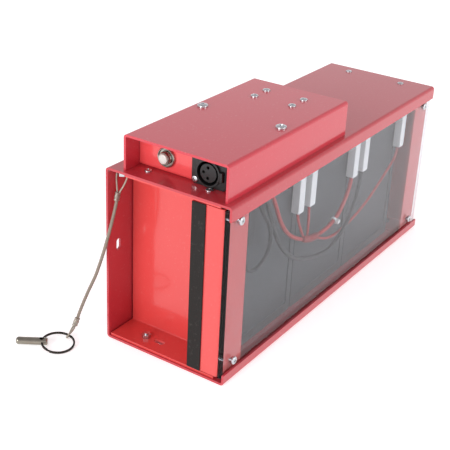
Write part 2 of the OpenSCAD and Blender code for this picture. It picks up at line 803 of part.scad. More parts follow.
module socket_latch() {
    y0 = -latch_y - latch_t / 2;
    color([0.7, 0.7, 0.68]) at_barrel()
        box([-4.4, 12], [y0, y0 + latch_t], [-latch_w / 2, latch_w / 2]);
}

module latch_spring() {
    start = 12 + latch_travel + 0.5;
    points = [for (i = [0:36])
        [start + (16.5 - start) * i / 36, -latch_y + 0.8 * cos(30 * i), 0.8 * sin(30 * i)]];
    color("silver") at_barrel() tube(points, 0.5);
}

module socket_screws() {
    color("silver") at_socket_screws() translate([-socket_t, 0, 0]) rotate([0, -90, 0])
        pan_screw(3, 5.4, 1.5, socket_t + sheet_t + 3.4);
}

module socket_nuts() {
    color("gainsboro") at_socket_screws() translate([sheet_t, 0, 0]) rotate([0, 90, 0])
        hex_nut(6.35, 3, 2.4);
}

module grommet() {
    color([0.08, 0.08, 0.08]) translate([grommet_x, grommet_y, case_h]) difference() {
        union() {
            cylinder(d = grommet_bore + 5, h = 1.4);
            translate([0, 0, -sheet_t]) cylinder(d = grommet_bore + 2.4, h = sheet_t);
            translate([0, 0, -sheet_t - 0.8]) cylinder(d = grommet_bore + 5, h = 0.8);
        }
        hole(grommet_bore, 12);
    }
}

// ---------------------------------------------------------------- batteries
function pole_x(i, side) = i * battery_pitch + side * tab_x;

module battery_case(i) {
    color([0.24, 0.25, 0.26]) translate([i * battery_pitch, 0, 0])
        along_y(battery_y0 + lid_t, battery_y1)
            translate([0, sheet_t + battery_h / 2]) rounded_rect(cell_w, battery_h, 2.5);
}

module battery_near() {
    battery_case(-1);
}

module battery_middle() {
    battery_case(0);
}

module battery_far() {
    battery_case(1);
}

module battery_lids() {
    color([0.3, 0.31, 0.32]) for (i = [-1:1]) translate([i * battery_pitch, 0, 0]) difference() {
        along_y(battery_y0, battery_y0 + lid_t)
            translate([0, sheet_t + battery_h / 2])
                rounded_rect(cell_w - 1, battery_h - 1, 2.5);
        along_y(battery_y0 - 1, battery_y0 + 1)
            translate([0, sheet_t + battery_h / 2 - 14])
                rounded_rect(cell_w - 14, battery_h - 46, 3);
        for (side = [-1, 1]) terminal_tab(side, 0.02);
    }
}

// Bent tab of one battery pole, grown by gap for the slot that holds it
module terminal_tab(side, gap) {
    x = [side * tab_x - tab_w / 2 - gap, side * tab_x + tab_w / 2 + gap];
    z1 = connector_top + 2.4;
    box(x, [tab_y, battery_y0 + 5 + gap], [z1 - tab_t - gap, z1 + gap]);
    box(x, [tab_y, tab_y + tab_t], [connector_top - 12, z1]);
}

module battery_terminals() {
    color([0.8, 0.72, 0.5]) for (i = [-1:1]) translate([i * battery_pitch, 0, 0])
        for (side = [-1, 1]) terminal_tab(side, 0);
}

module battery_pads() {
    end_x = 1.5 * cell_w + battery_gap;
    color([0.15, 0.15, 0.16]) for (side = [-1, 1])
        box([min(side * end_x, side * (panel_x - sheet_t)), max(side * end_x, side * (panel_x - sheet_t))],
            [-20, 40], [30, 120]);
}

// ---------------------------------------------------------------- connectors
module connector_housing() {
    y0 = tab_y + tab_t / 2 - connector_d / 2;
    difference() {
        translate([0, y0 + connector_d / 2, connector_z])
            linear_extrude(connector_l) rounded_rect(connector_w, connector_d, 0.8);
        box([-3.9, 3.9], [tab_y + tab_t / 2 - 1.6, tab_y + tab_t / 2 + 1.6],
            [connector_z + 17, connector_top + 1]);
        translate([0, tab_y + tab_t / 2, connector_z - 1]) cylinder(d = lead_d + 0.4, h = 20);
    }
}

module white_connectors() {
    color([0.93, 0.93, 0.9])
        for (pole = [[-1, 1], [0, -1], [0, 1], [1, -1], [1, 1]])
            translate([pole_x(pole[0], pole[1]), 0, 0]) connector_housing();
}

module black_connector() {
    color([0.1, 0.1, 0.1]) translate([pole_x(-1, -1), 0, 0]) connector_housing();
}

module connector_receptacles() {
    color([0.8, 0.7, 0.4]) for (i = [-1:1], side = [-1, 1]) translate([pole_x(i, side), 0, 0])
        difference() {
            box([-3.8, 3.8], [tab_y + tab_t / 2 - 1.5, tab_y + tab_t / 2 + 1.5],
                [connector_z + 17.1, connector_top - 0.5]);
            box([-tab_w / 2 - 0.03, tab_w / 2 + 0.03], [tab_y - 0.02, tab_y + tab_t + 0.02],
                [connector_top - 12.1, connector_top + 1]);
        }
}

// ---------------------------------------------------------------- leads
module main_red_lead() {
    color([0.75, 0.08, 0.08]) {
        tube(smooth(with_top(red_points), 9), lead_d);
        tube(smooth(red_rise_points, 9), lead_d);
    }
}

module branch_red_leads() {
    color([0.75, 0.08, 0.08]) for (p = branch_points) tube(smooth(p, 9), branch_d);
}

module output_red_lead() {
    color([0.75, 0.08, 0.08]) tube(smooth(with_top(output_points), 7), branch_d);
}

module main_black_lead() {
    color([0.06, 0.06, 0.06]) tube(smooth(with_top(black_points), 10), lead_d);
}

module end_black_lead() {
    color([0.06, 0.06, 0.06]) tube(smooth(with_top(end_black_points), 9), lead_d);
}

module lead_splice() {
    color([0.55, 0.07, 0.08]) tube(smooth(splice_points, 6), lead_d + 2.4, 12);
}

module lead_tie() {
    color([0.9, 0.9, 0.88]) translate([9, -45, 70]) rotate([0, 75, 0]) difference() {
        union() {
            translate([0, 0, -1.2]) cylinder(d = lead_d + 2.2, h = 2.4);
            box([-1.6, 1.6], [-5.2, -lead_d / 2 - 0.3], [-2, 2]);
        }
        hole(lead_d + 0.6, 6);
    }
}

// ---------------------------------------------------------------- lanyard and pin
module at_anchor() {
    translate([-anchor_x, anchor_y, 0]) children();
}

// Welded stud with a thin flange against the underside of the top
module anchor_stud() {
    top = case_h - sheet_t;
    l = top - anchor_washer_z + anchor_washer_t + nut_h + 0.8;
    color("silver") at_anchor() {
        translate([0, 0, top - l]) cylinder(d = screw_d, h = l);
        translate([0, 0, top - 0.7]) cylinder(d = 5, h = 0.7);
    }
}

module anchor_washer() {
    color("silver") at_anchor() translate([0, 0, anchor_washer_z - anchor_washer_t]) difference() {
        cylinder(d = 8, h = anchor_washer_t);
        hole(screw_d + 0.2, 4);
    }
}

module anchor_nut() {
    color("gainsboro") at_anchor() translate([0, 0, anchor_washer_z - anchor_washer_t - nut_h])
        hex_nut(nut_d, screw_d, nut_h);
}

module lanyard_cable() {
    color([0.72, 0.66, 0.58]) tube(smooth(from_near_edge(lanyard_points), 7), lanyard_d);
}

module upper_loop() {
    color([0.75, 0.72, 0.66]) tube(smooth(from_near_edge(upper_loop_points), 3.4), wire_d);
}

module lower_loop() {
    color([0.7, 0.67, 0.62]) tube(smooth(from_near_edge(lower_loop_points), 2.6), wire_d);
}

// Flattened sleeve between a and b, crimped over the ends of a loop
module ferrule(ends) {
    a = ends[0];
    b = ends[1];
    v = b - a;
    turn = atan2(v.y, v.x);
    tip = acos(v.z / norm(v));
    translate(a) rotate([0, tip, turn]) linear_extrude(norm(v)) obround(5, 3.4);
}

module upper_ferrule() {
    color([0.6, 0.58, 0.52]) ferrule(from_near_edge([[3.9, 51.4, 127], [5.3, 50.9, 134]]));
}

module lower_ferrule() {
    color([0.6, 0.58, 0.52]) ferrule(from_near_edge([[-15, 81.7, 9], [-12.2, 80.8, 15.6]]));
}

module at_ring() {
    translate([-half_l + ring_x, ring_y, ring_z])
        rotate([0, 0, ring_high_side]) rotate([0, -ring_tilt, 0]) children();
}

module split_ring() {
    color([0.5, 0.5, 0.5]) at_ring() rotate_extrude()
        translate([(ring_d - ring_wire_w) / 2, 0]) rounded_rect(ring_wire_w, ring_wire_h, 0.5);
}

module release_pin() {
    hole_r = (ring_d - ring_wire_w) / 2;
    color([0.8, 0.8, 0.78])
        translate([-half_l + ring_x, ring_y, pin_d / 2 + 0.02]) rotate([0, 0, pin_angle])
            difference() {
                union() {
                    rod_x(pin_inner + 0.6, pin_groove, pin_d);
                    rod_x(pin_groove, pin_groove + 0.8, pin_d - 0.5);
                    rod_x(pin_groove + 0.8, pin_inner + pin_l - 1.6, pin_d);
                    translate([pin_inner, 0, 0]) rotate([0, 90, 0])
                        cylinder(d1 = pin_d - 1.2, d2 = pin_d, h = 0.6);
                    translate([pin_inner + pin_l - 1.6, 0, 0]) rotate([0, 90, 0])
                        cylinder(d1 = pin_d, d2 = pin_d - 2.4, h = 1.6);
                }
                translate([hole_r, 0, 0]) rotate([90, 0, 0]) hole(pin_hole_d, 2 * pin_d);
            }
}

outer_wrap();
near_end_frame();
far_end_frame();
window();
window_screws();
window_nuts();
top_end_screws();
top_end_nuts();
bottom_end_screws();
bottom_end_nuts();
grip_strip();
top_housing();
control_panel();
panel_rivets();
housing_screws();
housing_standoffs();
power_module();
module_screws();
breaker_body();
breaker_bushing();
breaker_nut();
breaker_button();
breaker_spring();
breaker_terminals();
socket_shell();
socket_insert();
socket_contacts();
socket_latch();
latch_spring();
socket_screws();
socket_nuts();
grommet();
battery_near();
battery_middle();
battery_far();
battery_lids();
battery_terminals();
battery_pads();
white_connectors();
black_connector();
connector_receptacles();
main_red_lead();
branch_red_leads();
output_red_lead();
main_black_lead();
end_black_lead();
lead_splice();
lead_tie();
anchor_stud();
anchor_washer();
anchor_nut();
lanyard_cable();
upper_loop();
lower_loop();
upper_ferrule();
lower_ferrule();
split_ring();
release_pin();
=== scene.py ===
"""Looks for a red battery power box with a smoked window, controls and a pin on a lanyard."""

import json
import logging
import math
import random
from dataclasses import dataclass, field
from enum import Enum
from typing import Callable, Sequence

import bmesh
import bpy
from mathutils import Matrix, Vector

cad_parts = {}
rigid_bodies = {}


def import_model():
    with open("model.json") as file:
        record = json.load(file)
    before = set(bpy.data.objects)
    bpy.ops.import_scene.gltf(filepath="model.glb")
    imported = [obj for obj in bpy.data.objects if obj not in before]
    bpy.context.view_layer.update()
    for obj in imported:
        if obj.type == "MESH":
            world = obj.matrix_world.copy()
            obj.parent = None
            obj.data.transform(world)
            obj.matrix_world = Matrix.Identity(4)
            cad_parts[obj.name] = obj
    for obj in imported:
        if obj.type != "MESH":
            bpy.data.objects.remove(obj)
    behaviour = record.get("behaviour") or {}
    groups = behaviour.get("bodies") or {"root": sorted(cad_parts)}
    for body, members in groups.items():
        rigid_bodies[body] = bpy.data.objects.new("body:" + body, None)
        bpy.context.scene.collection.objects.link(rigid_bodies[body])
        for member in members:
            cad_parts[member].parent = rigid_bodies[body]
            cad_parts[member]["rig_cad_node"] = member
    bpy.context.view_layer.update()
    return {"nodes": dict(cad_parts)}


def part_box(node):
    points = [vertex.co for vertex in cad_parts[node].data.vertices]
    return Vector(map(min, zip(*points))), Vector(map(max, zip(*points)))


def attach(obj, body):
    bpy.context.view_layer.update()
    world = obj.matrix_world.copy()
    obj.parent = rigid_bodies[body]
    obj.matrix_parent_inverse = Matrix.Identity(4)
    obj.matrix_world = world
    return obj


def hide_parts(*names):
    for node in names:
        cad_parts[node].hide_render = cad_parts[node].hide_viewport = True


LOG = logging.getLogger("battery_box")
MM = 0.001
TURN = 2 * math.pi
CASE = "case"

Colour = tuple[float, float, float]
Point = tuple[float, float, float]
Profile = Sequence[tuple[float, float]]
Value = bpy.types.NodeSocket | float | tuple[float, ...]


# ---------------------------------------------------------------- finishes
class Grain(Enum):
    """How a finish's fine surface runs."""

    PEEL = "sprayed_paint"
    MOULDED = "moulded_skin"
    BRUSHED = "drawn_metal"
    FIBRE = "fibre_pile"


STRETCH = {
    Grain.PEEL: (1.0, 1.0, 1.0),
    Grain.MOULDED: (1.0, 1.0, 1.0),
    Grain.BRUSHED: (1.0, 1.0, 12.0),
    Grain.FIBRE: (1.0, 2.5, 1.0),
}


@dataclass(frozen=True)
class Finish:
    """One finish: its colours, gloss and grain."""

    name: str
    colour: Colour
    second: Colour
    roughness: float
    grain: Grain = Grain.MOULDED
    metallic: float = 0.0
    variation: float = 0.4
    patch: float = 30.0
    fine: float = 900.0
    spread: float = 0.12
    bump: float = 0.00004
    coat: float = 0.0
    coat_roughness: float = 0.04
    dust: float = 0.0
    transmission: float = 0.0
    ior: float = 1.5

    def material(self) -> bpy.types.Material:
        """Returns this finish's material, building it the first time."""
        found = bpy.data.materials.get(self.look)
        return found or self._build()

    @property
    def look(self) -> str:
        """Name of this finish's material; the CAD material keeps the plain name."""
        return self.name + "_look"

    def _build(self) -> bpy.types.Material:
        """Wires the skin group into a Principled shader.

        Returns:
            The new material.
        """
        material = bpy.data.materials.new(self.look)
        material.use_nodes = True
        nodes, links = material.node_tree.nodes, material.node_tree.links
        shader = nodes["Principled BSDF"]
        shader.inputs["Metallic"].default_value = self.metallic
        shader.inputs["IOR"].default_value = self.ior
        shader.inputs["Coat Weight"].default_value = self.coat
        shader.inputs["Coat Roughness"].default_value = self.coat_roughness
        shader.inputs["Transmission Weight"].default_value = self.transmission
        skin = nodes.new("ShaderNodeGroup")
        skin.node_tree = SkinGroup(self.grain).tree()
        skin.inputs["Color"].default_value = (*self.colour, 1)
        skin.inputs["Second Color"].default_value = (*self.second, 1)
        for name, value in (
            ("Variation", self.variation), ("Patch Scale", self.patch), ("Fine Scale", self.fine),
            ("Roughness", self.roughness), ("Spread", self.spread), ("Dust", self.dust),
        ):
            skin.inputs[name].default_value = value
        bump = nodes.new("ShaderNodeBump")
        bump.inputs["Distance"].default_value = self.bump
        bump.inputs["Strength"].default_value = 1.0
        links.new(skin.outputs["Color"], shader.inputs["Base Color"])
        links.new(skin.outputs["Roughness"], shader.inputs["Roughness"])
        links.new(skin.outputs["Height"], bump.inputs["Height"])
        links.new(bump.outputs["Normal"], shader.inputs["Normal"])
        if self.transmission > 0:
            self._let_light_through(material, shader)
        return material

    def _let_light_through(self, material: bpy.types.Material, shader: bpy.types.Node) -> None:
        """Makes a clear sheet cast a light, tinted shadow.

        Args:
            material: The material being built.
            shader: Its Principled shader.
        """
        nodes, links = material.node_tree.nodes, material.node_tree.links
        path = nodes.new("ShaderNodeLightPath")
        clear = nodes.new("ShaderNodeBsdfTransparent")
        clear.inputs["Color"].default_value = (*[c ** 0.5 for c in self.colour], 1)
        mix = nodes.new("ShaderNodeMixShader")
        links.new(path.outputs["Is Shadow Ray"], mix.inputs["Fac"])
        links.new(shader.outputs["BSDF"], mix.inputs[1])
        links.new(clear.outputs["BSDF"], mix.inputs[2])
        links.new(mix.outputs["Shader"], nodes["Material Output"].inputs["Surface"])


@dataclass(frozen=True)
class SkinGroup:
    """The node group that gives a surface its patches, dust, gloss and relief."""

    grain: Grain
    patch_detail: float = 4.0
    fine_detail: float = 2.0
    speck_scale: float = 420.0
    speck_detail: float = 3.0
    speck_low: float = 0.60
    speck_high: float = 0.72
    dust_colour: Colour = (0.72, 0.68, 0.62)
    dust_dulling: float = 0.5

    def tree(self) -> bpy.types.NodeTree:
        """Returns the group for this grain, building it the first time."""
        return bpy.data.node_groups.get(self.grain.value) or self._build()

    def _build(self) -> bpy.types.NodeTree:
        """Wires the group's colour, roughness and height.

        Returns:
            The new node group.
        """
        tree = bpy.data.node_groups.new(self.grain.value, "ShaderNodeTree")
        self._sockets(tree)
        given = tree.nodes.new("NodeGroupInput").outputs
        result = tree.nodes.new("NodeGroupOutput").inputs
        place = tree.nodes.new("ShaderNodeTexCoord").outputs["Object"]
        stretch = tree.nodes.new("ShaderNodeMapping")
        stretch.inputs["Scale"].default_value = STRETCH[self.grain]
        tree.links.new(place, stretch.inputs["Vector"])

        patches = noise(tree, place, given["Patch Scale"], self.patch_detail)
        fine = noise(tree, stretch.outputs["Vector"], given["Fine Scale"], self.fine_detail)
        specks = noise(tree, place, self.speck_scale, self.speck_detail)
        few = tree.nodes.new("ShaderNodeMapRange")
        few.inputs["From Min"].default_value = self.speck_low
        few.inputs["From Max"].default_value = self.speck_high
        tree.links.new(specks, few.inputs["Value"])

        dusty = sums(tree, "MULTIPLY", few.outputs["Result"], given["Dust"])
        amount = sums(tree, "MULTIPLY", patches, given["Variation"])
        tint = blend(tree, amount, given["Color"], given["Second Color"])
        colour = blend(tree, dusty, tint, (*self.dust_colour, 1))
        centred = sums(tree, "SUBTRACT", patches, 0.5)
        gloss = sums(tree, "MULTIPLY_ADD", centred, given["Spread"], given["Roughness"])
        duller = sums(tree, "MULTIPLY_ADD", dusty, self.dust_dulling, gloss)
        duller.node.use_clamp = True

        tree.links.new(colour, result["Color"])
        tree.links.new(duller, result["Roughness"])
        tree.links.new(fine, result["Height"])
        return tree

    def _sockets(self, tree: bpy.types.NodeTree) -> None:
        """Names the group's inputs and outputs.

        Args:
            tree: The group.
        """
        for name in ("Color", "Second Color"):
            tree.interface.new_socket(name, in_out="INPUT", socket_type="NodeSocketColor")
        for name in ("Variation", "Patch Scale", "Fine Scale", "Roughness", "Spread", "Dust"):
            tree.interface.new_socket(name, in_out="INPUT", socket_type="NodeSocketFloat")
        tree.interface.new_socket("Color", in_out="OUTPUT", socket_type="NodeSocketColor")
        for name in ("Roughness", "Height"):
            tree.interface.new_socket(name, in_out="OUTPUT", socket_type="NodeSocketFloat")


def feed(tree: bpy.types.NodeTree, socket: bpy.types.NodeSocket, value: Value) -> None:
    """Links a socket to an input, or sets the input to a plain value.

    Args:
        tree: The node tree of both.
        socket: The input.
        value: Another node's output, a number or a colour.
    """
    if isinstance(value, bpy.types.NodeSocket):
        tree.links.new(value, socket)
    else:
        socket.default_value = value


def noise(tree: bpy.types.NodeTree, place: Value, scale: Value, detail: float) -> Value:
    """Adds a noise texture.

    Args:
        tree: The node tree.
        place: The coordinates it reads.
        scale: Its scale.
        detail: Its detail.

    Returns:
        Its grey output.
    """
    node = tree.nodes.new("ShaderNodeTexNoise")
    node.inputs["Detail"].default_value = detail
    feed(tree, node.inputs["Vector"], place)
    feed(tree, node.inputs["Scale"], scale)
    return node.outputs["Fac"]


def sums(tree: bpy.types.NodeTree, operation: str, *values: Value) -> Value:
    """Adds a Math node.

    Args:
        tree: The node tree.
        operation: What it works out.
        *values: What it works on.

    Returns:
        Its output.
    """
    node = tree.nodes.new("ShaderNodeMath")
    node.operation = operation
    for socket, value in zip(node.inputs, values):
        feed(tree, socket, value)
    return node.outputs["Value"]


def blend(tree: bpy.types.NodeTree, share: Value, first: Value, second: Value) -> Value:
    """Adds a Mix node for colours.

    Args:
        tree: The node tree.
        share: How much of the second colour shows.
        first: The first colour.
        second: The second colour.

    Returns:
        Its output.
    """
    node = tree.nodes.new("ShaderNodeMix")
    node.data_type = "RGBA"
    feed(tree, node.inputs["Factor"], share)
    feed(tree, node.inputs["A"], first)
    feed(tree, node.inputs["B"], second)
    return node.outputs["Result"]


# Painted shade: the wrap wears the same red coat as the panel, but its base colour is made darker to
# stand in for the shade on its recess walls, sides and top.
WRAP_PAINT_SHADED = Finish("wrap_paint", (0.48, 0.036, 0.050), (0.41, 0.029, 0.041), 0.17, Grain.PEEL,
                    patch=9.0, fine=240.0, bump=0.00002, coat=0.25, dust=0.04)
# Painted shade: the end frames wear the same red coat as the panel, with the base colour darkened to
# stand in for the dimmer light on their columns behind the window.
FRAME_PAINT_SHADED = Finish("frame_paint", (0.68, 0.062, 0.058), (0.60, 0.051, 0.048), 0.20, Grain.PEEL,
                     patch=9.0, fine=240.0, bump=0.00002, coat=0.4, dust=0.03)
PANEL_PAINT = Finish("panel_paint", (0.78, 0.075, 0.080), (0.70, 0.062, 0.066), 0.20, Grain.PEEL,
                     patch=11.0, fine=240.0, bump=0.00002, coat=0.4, dust=0.03)
# Painted shade: the housing wears the same red coat as the panel, with the base colour darkened to
# stand in for the shade on its walls inside the recess.
HOUSING_PAINT_SHADED = Finish("housing_paint", (0.57, 0.036, 0.056), (0.49, 0.028, 0.046), 0.16, Grain.PEEL,
                       patch=10.0, fine=240.0, bump=0.00002, coat=0.3, dust=0.04)
SMOKED = Finish("smoked_acrylic", (0.79, 0.81, 0.84), (0.775, 0.795, 0.825), 0.02,
                variation=0.3, patch=6.0, fine=40.0, spread=0.01, bump=0.0, transmission=1.0, ior=1.28)
ZINC = Finish("screw_zinc", (0.62, 0.64, 0.66), (0.34, 0.35, 0.36), 0.24, Grain.BRUSHED,
              metallic=1.0, patch=400.0, fine=1500.0, bump=0.00001)
ALUMINIUM = Finish("rivet_aluminium", (0.62, 0.62, 0.63), (0.45, 0.45, 0.46), 0.34, Grain.BRUSHED,
                   metallic=1.0, patch=300.0, fine=1500.0, bump=0.00001)
NICKEL = Finish("nickel", (0.46, 0.44, 0.39), (0.14, 0.13, 0.115), 0.2, Grain.BRUSHED,
                metallic=1.0, patch=240.0, fine=1200.0, bump=0.00001)
SPRING = Finish("spring_steel", (0.42, 0.42, 0.43), (0.30, 0.30, 0.31), 0.3, Grain.BRUSHED,
                metallic=1.0, patch=500.0, fine=1500.0, bump=0.00001)
BRASS = Finish("brass_contact", (0.55, 0.40, 0.17), (0.38, 0.27, 0.11), 0.3, Grain.BRUSHED,
               metallic=1.0, patch=300.0, fine=1400.0, bump=0.00001)
STRIP = Finish("strip_rubber", (0.010, 0.008, 0.007), (0.020, 0.016, 0.014), 0.95, Grain.FIBRE,
               patch=160.0, fine=1400.0, bump=0.0002, dust=0.03)
GASKET = Finish("black_rubber", (0.016, 0.016, 0.016), (0.03, 0.03, 0.03), 0.6, fine=1100.0)
DARK = Finish("dark_plastic", (0.009, 0.009, 0.0095), (0.016, 0.016, 0.0165), 0.42, fine=1300.0,
              bump=0.00003, dust=0.03)
WHITE_BUTTON = Finish("white_plastic", (0.62, 0.60, 0.56), (0.50, 0.48, 0.45), 0.3, variation=0.3,
                      patch=80.0, coat=0.2)
NYLON = Finish("white_nylon", (0.96, 0.96, 0.94), (0.90, 0.89, 0.87), 0.4, patch=60.0, fine=800.0)
CASE_PLASTIC = Finish("battery_case", (0.029, 0.031, 0.034), (0.022, 0.024, 0.027), 0.55,
                      patch=14.0, fine=700.0, bump=0.00001, dust=0.02)
LID_PLASTIC = Finish("battery_lid", (0.055, 0.058, 0.062), (0.042, 0.045, 0.048), 0.5,
                     patch=14.0, fine=700.0, bump=0.00001, dust=0.02)
FOAM = Finish("foam", (0.03, 0.03, 0.032), (0.05, 0.05, 0.052), 0.95, fine=1800.0, bump=0.0002)
RED_WIRE = Finish("red_insulation", (0.50, 0.012, 0.012), (0.38, 0.008, 0.008), 0.3, patch=40.0)
BLACK_WIRE = Finish("black_insulation", (0.014, 0.014, 0.014), (0.026, 0.026, 0.026), 0.3,
                    patch=40.0)
SLEEVE = Finish("sleeve_red", (0.33, 0.010, 0.012), (0.25, 0.008, 0.009), 0.45, patch=60.0)
ROPE_COAT = Finish("coated_rope", (0.29, 0.24, 0.185), (0.12, 0.095, 0.07), 0.36,
                   variation=0.9, patch=420.0, fine=1600.0, coat=0.25)
WIRE_ROPE = Finish("bare_rope", (0.46, 0.42, 0.35), (0.24, 0.21, 0.17), 0.36, Grain.BRUSHED,
                   metallic=0.7, variation=0.8, patch=500.0, fine=1500.0, bump=0.00001)
CRIMP = Finish("ferrule_metal", (0.36, 0.33, 0.28), (0.20, 0.18, 0.15), 0.38, Grain.BRUSHED,
               metallic=0.8, variation=0.7, patch=260.0, fine=1200.0, bump=0.00002)
DARK_CHROME = Finish("dark_chrome", (0.06, 0.052, 0.045), (0.02, 0.018, 0.016), 0.2, Grain.BRUSHED,
                     metallic=1.0, variation=0.6, patch=180.0, fine=1200.0, bump=0.00001)
PIN_STEEL = Finish("pin_steel", (0.38, 0.35, 0.29), (0.09, 0.08, 0.065), 0.16, Grain.BRUSHED,
                   metallic=1.0, variation=0.7, patch=160.0, fine=1300.0, bump=0.00001)


# ---------------------------------------------------------------- making pieces
def finished(name: str, bm: bmesh.types.BMesh, finish: Finish, body: str = CASE,
             nodes: Sequence[str] = (), crease: float = 32.0) -> bpy.types.Object:
    """Turns a bmesh into a dressed piece that rides on a body.

    Args:
        name: The piece's name.
        bm: Its mesh, in the row frame. It is freed.
        finish: The finish it wears.
        body: The body it rides on.
        nodes: The CAD nodes it stands for.
        crease: Faces that meet at a larger angle, in degrees, keep a sharp edge.

    Returns:
        The new object, at the origin.
    """
    mesh = bpy.data.meshes.new(name)
    bm.to_mesh(mesh)
    bm.free()
    mesh.polygons.foreach_set("use_smooth", [True] * len(mesh.polygons))
    mesh.set_sharp_from_angle(angle=math.radians(crease))
    piece = bpy.data.objects.new(name, mesh)
    bpy.context.scene.collection.objects.link(piece)
    mesh.materials.append(finish.material())
    flat = piece.modifiers.new("flat faces", "WEIGHTED_NORMAL")
    flat.mode = "FACE_AREA"
    flat.weight = 100
    flat.keep_sharp = True
    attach(piece, body)
    if nodes:
        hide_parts(*nodes)
    LOG.info("piece %s: %d faces, for %s", name, len(mesh.polygons), ", ".join(nodes) or "itself")
    return piece


def cad_nodes() -> dict[str, bpy.types.Object]:
    """Returns the CAD nodes by name."""
    return {o["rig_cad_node"]: o for o in bpy.data.objects if "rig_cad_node" in o}


def merged_copy(node: str) -> bmesh.types.BMesh:
    """Copies a CAD node's mesh and joins its loose triangles into flat faces.

    Args:
        node: The CAD node.

    Returns:
        The copy.
    """
    bm = bmesh.new()
    bm.from_mesh(cad_nodes()[node].data)
    bmesh.ops.remove_doubles(bm, verts=bm.verts, dist=0.002 * MM)
    bmesh.ops.dissolve_limit(bm, angle_limit=math.radians(0.6), verts=bm.verts, edges=bm.edges)
    return bm


def bevelled(bm: bmesh.types.BMesh, geom: Sequence[object], width: float, segments: int = 3,
             affect: str = "EDGES") -> bmesh.types.BMesh:
    """Rounds some edges or corners of a mesh.

    Args:
        bm: The mesh.
        geom: Its edges or corners that are rounded.
        width: How wide, in millimetres.
        segments: Steps across the rounding.
        affect: EDGES or VERTICES.

    Returns:
        The same mesh.
    """
    bmesh.ops.bevel(bm, geom=geom, offset=width * MM, segments=segments, profile=0.5,
                    affect=affect, clamp_overlap=True, material=-1)
    return bm


def softened(node: str, finish: Finish, width: float, body: str = CASE,
             segments: int = 2, angle: float = 38.0) -> bpy.types.Object:
    """Stands for a CAD node with the same shape and broken edges.

    Args:
        node: The CAD node.
        finish: The finish it wears.
        width: Width of the broken edges, in millimetres.
        body: The body it rides on.
        segments: Steps across a broken edge.
        angle: Edges sharper than this, in degrees, are broken.

    Returns:
        The new piece.
    """
    bm = merged_copy(node)
    sharp = [e for e in bm.edges if e.is_manifold and e.calc_face_angle(0.0) > math.radians(angle)]
    return finished(node + "_piece", bevelled(bm, sharp, width, segments), finish, body, [node])


def dressed(node: str, finish: Finish) -> None:
    """Gives a CAD node that keeps its own mesh its finish.

    Args:
        node: The CAD node.
        finish: The finish it wears.
    """
    target = cad_nodes()[node]
    for slot in target.material_slots:
        slot.material = finish.material()
    LOG.info("node %s keeps its shape, in %s", node, finish.name)


def lathe(profile: Profile, steps: int = 32) -> bmesh.types.BMesh:
    """Spins a profile of (radius, height) points, in millimetres, round Z.

    Args:
        profile: Points from the lower pole or rim to the upper one.
        steps: Steps in the full turn.

    Returns:
        The closed mesh, in metres.
    """
    bm = bmesh.new()
    verts = [bm.verts.new((r * MM, 0, z * MM)) for r, z in profile]
    edges = [bm.edges.new(pair) for pair in zip(verts, verts[1:])]
    bmesh.ops.spin(bm, geom=verts + edges, cent=(0, 0, 0), axis=(0, 0, 1), angle=TURN,
                   steps=steps, use_merge=True)
    bmesh.ops.remove_doubles(bm, verts=bm.verts, dist=0.0005 * MM)
    bmesh.ops.recalc_face_normals(bm, faces=bm.faces)
    return bm


def joined(parts: Sequence[bmesh.types.BMesh]) -> bmesh.types.BMesh:
    """Puts several meshes into one.

    Args:
        parts: The meshes. They are freed.

    Returns:
        One mesh that holds them all.
    """
    whole = bmesh.new()
    scratch = bpy.data.meshes.new("scratch")
    for part in parts:
        part.to_mesh(scratch)
        part.free()
        whole.from_mesh(scratch)
    bpy.data.meshes.remove(scratch)
    return whole


def placed(bm: bmesh.types.BMesh, matrix: Matrix) -> bmesh.types.BMesh:
    """Returns the bmesh moved by a matrix."""
    bmesh.ops.transform(bm, matrix=matrix, verts=bm.verts)
    return bm


def copies(bm: bmesh.types.BMesh, places: Sequence[Matrix]) -> bmesh.types.BMesh:
    """Repeats a mesh.

    Args:
        bm: The mesh. It is freed.
        places: Where its copies stand.

    Returns:
        One mesh that holds the copies.
    """
    made = [placed(bm.copy(), place) for place in places]
    bm.free()
    return joined(made)


def cut(bm: bmesh.types.BMesh, cutter: bmesh.types.BMesh) -> bmesh.types.BMesh:
    """Takes one closed mesh away from another.

    Args:
        bm: The mesh to cut. It is freed.
        cutter: The mesh taken away. It is freed.

    Returns:
        What is left.
    """
    objects = []
    for shape in (bm, cutter):
        mesh = bpy.data.meshes.new("cutting")
        shape.to_mesh(mesh)
        shape.free()
        objects.append(bpy.data.objects.new("cutting", mesh))
        bpy.context.scene.collection.objects.link(objects[-1])
    whole, tool = objects
    boolean = whole.modifiers.new("cut", "BOOLEAN")
    boolean.object = tool
    boolean.solver = "EXACT"
    boolean.use_self = True
    result = bmesh.new()
    result.from_object(whole, bpy.context.evaluated_depsgraph_get())
    for thing in objects:
        mesh = thing.data
        bpy.data.objects.remove(thing)
        bpy.data.meshes.remove(mesh)
    return result


def block(size: Point, centre: Point = (0, 0, 0), bevel: float = 0.0) -> bmesh.types.BMesh:
    """Makes a box with rounded edges.

    Args:
        size: Its sizes in millimetres.
        centre: Its centre in millimetres.
        bevel: Radius of its edges in millimetres.

    Returns:
        The box, in metres.
    """
    bm = bmesh.new()
    bmesh.ops.create_cube(bm, size=MM)
    bmesh.ops.scale(bm, vec=size, verts=bm.verts)
    if bevel > 0:
        bevelled(bm, list(bm.edges), bevel)
    bmesh.ops.translate(bm, vec=Vector(centre) * MM, verts=bm.verts)
    return bm


def aimed(place: Vector, direction: Sequence[float]) -> Matrix:
    """Returns the matrix that moves Z to a direction and the origin to a place, in metres."""
    turn = Vector(direction).to_track_quat("Z", "Y").to_matrix().to_4x4()
    return Matrix.Translation(place) @ turn


def centre_of(node: str) -> Vector:
    """Returns the middle of a CAD node's box, in metres."""
    low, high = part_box(node)
    return (low + high) / 2


